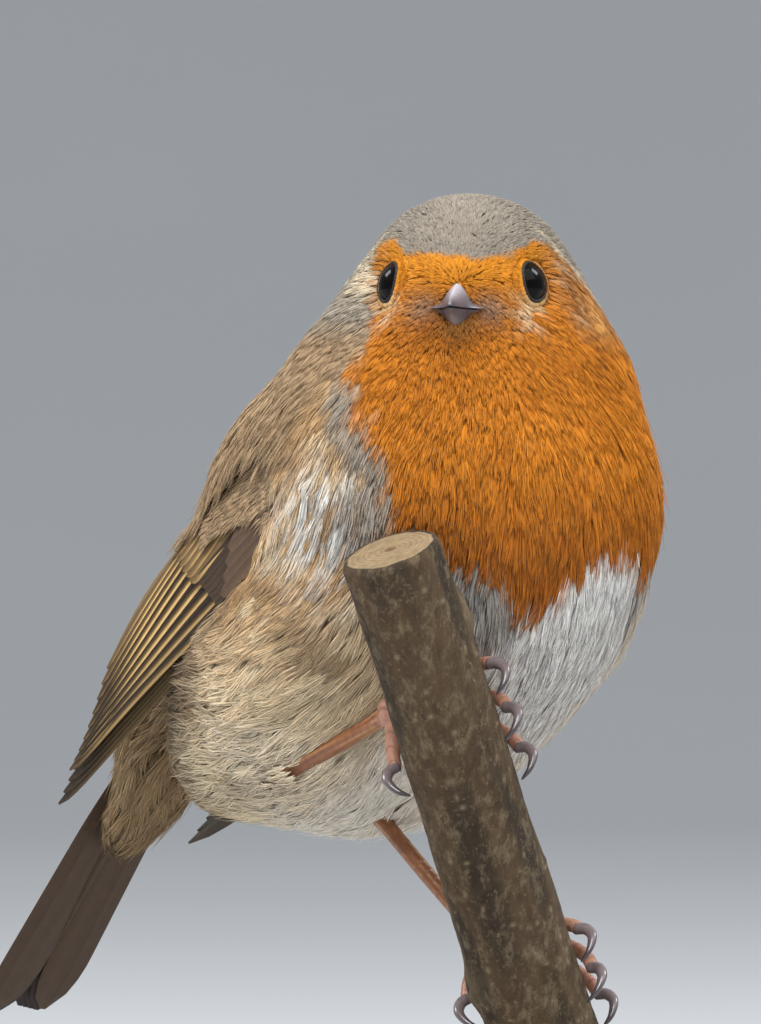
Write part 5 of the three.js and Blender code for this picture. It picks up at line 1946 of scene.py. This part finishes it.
BEARING = math.radians(-42)  # the way from the bird to the camera, turned from its front
CAMERA_REACH = 1.2  # metres from the bird
back_off = Vector((math.sin(BEARING), -math.cos(BEARING), 0))
right_of_view = Vector((math.cos(BEARING), math.sin(BEARING), 0))
aim = Vector((-4.38, 3.95, 107.4)) * MM
camera = bpy.data.objects.new("camera", bpy.data.cameras.new("camera"))
camera.data.sensor_fit = "VERTICAL"
camera.data.sensor_height = 36
camera.data.lens = 351
camera.location = aim + back_off * CAMERA_REACH
camera.rotation_euler = (-back_off).to_track_quat("-Z", "Y").to_euler()
bpy.context.scene.collection.objects.link(camera)
bpy.context.scene.camera = camera
bpy.context.scene.view_settings.view_transform = "Standard"

floor_finish = Finish("pale floor", Roughness=0.9, Specular_IOR_Level=0.1)
floor_grain = floor_finish.noise(floor_finish.place(), 3.0, 2.0)
floor_finish.feed(Base_Color=floor_finish.blend(floor_grain, (0.57, 0.58, 0.59), (0.61, 0.62, 0.63)))


def pale_floor():
    """A wide flat floor that curves up far behind into a backdrop."""
    flat, wall = 2.2, 5.7  # metres to where the floor begins to curve, and to its top
    reach = np.concatenate([np.linspace(0.02, flat, 12), np.linspace(flat + 0.1, wall, 26)])
    height = 2.6 * (np.maximum(reach - flat, 0) / (wall - flat)) ** 2.2
    sides = 96
    angle = full_turn(sides)
    across, along = np.outer(reach, np.cos(angle)), np.outer(reach, np.sin(angle))
    grid = np.stack([across, along, height[:, None] + 0 * angle], -1)
    points = np.vstack([grid.reshape(-1, 3), (0, 0, 0)])
    a, b, c, d = ring_corners(len(reach), sides)
    quads = np.stack([a, d, c, b], 1)
    s = np.arange(sides)
    middle = np.stack([s, (s + 1) % sides, np.full(sides, len(points) - 1)], 1)
    mesh = bpy.data.meshes.new("floor")
    mesh.from_pydata(points.tolist(), [], quads.tolist() + middle.tolist())
    mesh.shade_smooth()
    mesh.materials.append(floor_finish.material)
    floor = bpy.data.objects.new("floor", mesh)
    bpy.context.scene.collection.objects.link(floor)


pale_floor()


def soft_light(name, way, distance, size, watts, tint):
    """An area light that stands off from the bird and faces it."""
    light = bpy.data.objects.new(name, bpy.data.lights.new(name, "AREA"))
    light.data.size = size
    light.data.energy = watts
    light.data.color = tint
    way = way.normalized()
    light.location = aim + way * distance
    light.rotation_euler = (-way).to_track_quat("-Z", "Y").to_euler()
    light.visible_camera = False
    bpy.context.scene.collection.objects.link(light)


# Each light: its name, how far its way leads to the camera, to the right and up, then its distance,
# size and watts.
LIGHTS = (
    ("key", 0.9, -0.3, 1.3, 1.3, 0.7, 17.5),
    ("fill", 0.6, 0.9, 1.3, 1.5, 1.2, 8.5),
    ("side_left", -0.3, -0.85, 0.75, 1.3, 0.42, 6.5),
    ("side_right", -0.3, 0.8, 0.8, 1.3, 0.42, 6.5),
)
for light_name, near_view, to_right, up, *its_size in LIGHTS:
    tint = (0.98, 0.985, 1) if light_name == "key" else (0.97, 0.98, 1)
    light_way = back_off * near_view + right_of_view * to_right + Vector((0, 0, up))
    soft_light(light_name, light_way, *its_size, tint)

world = bpy.data.worlds.new("studio")
world.use_nodes = True
sky = world.node_tree.nodes["Background"]
sky.inputs["Color"].default_value = (0.86, 0.9, 0.95, 1)
sky.inputs["Strength"].default_value = 0.58
bpy.context.scene.world = world
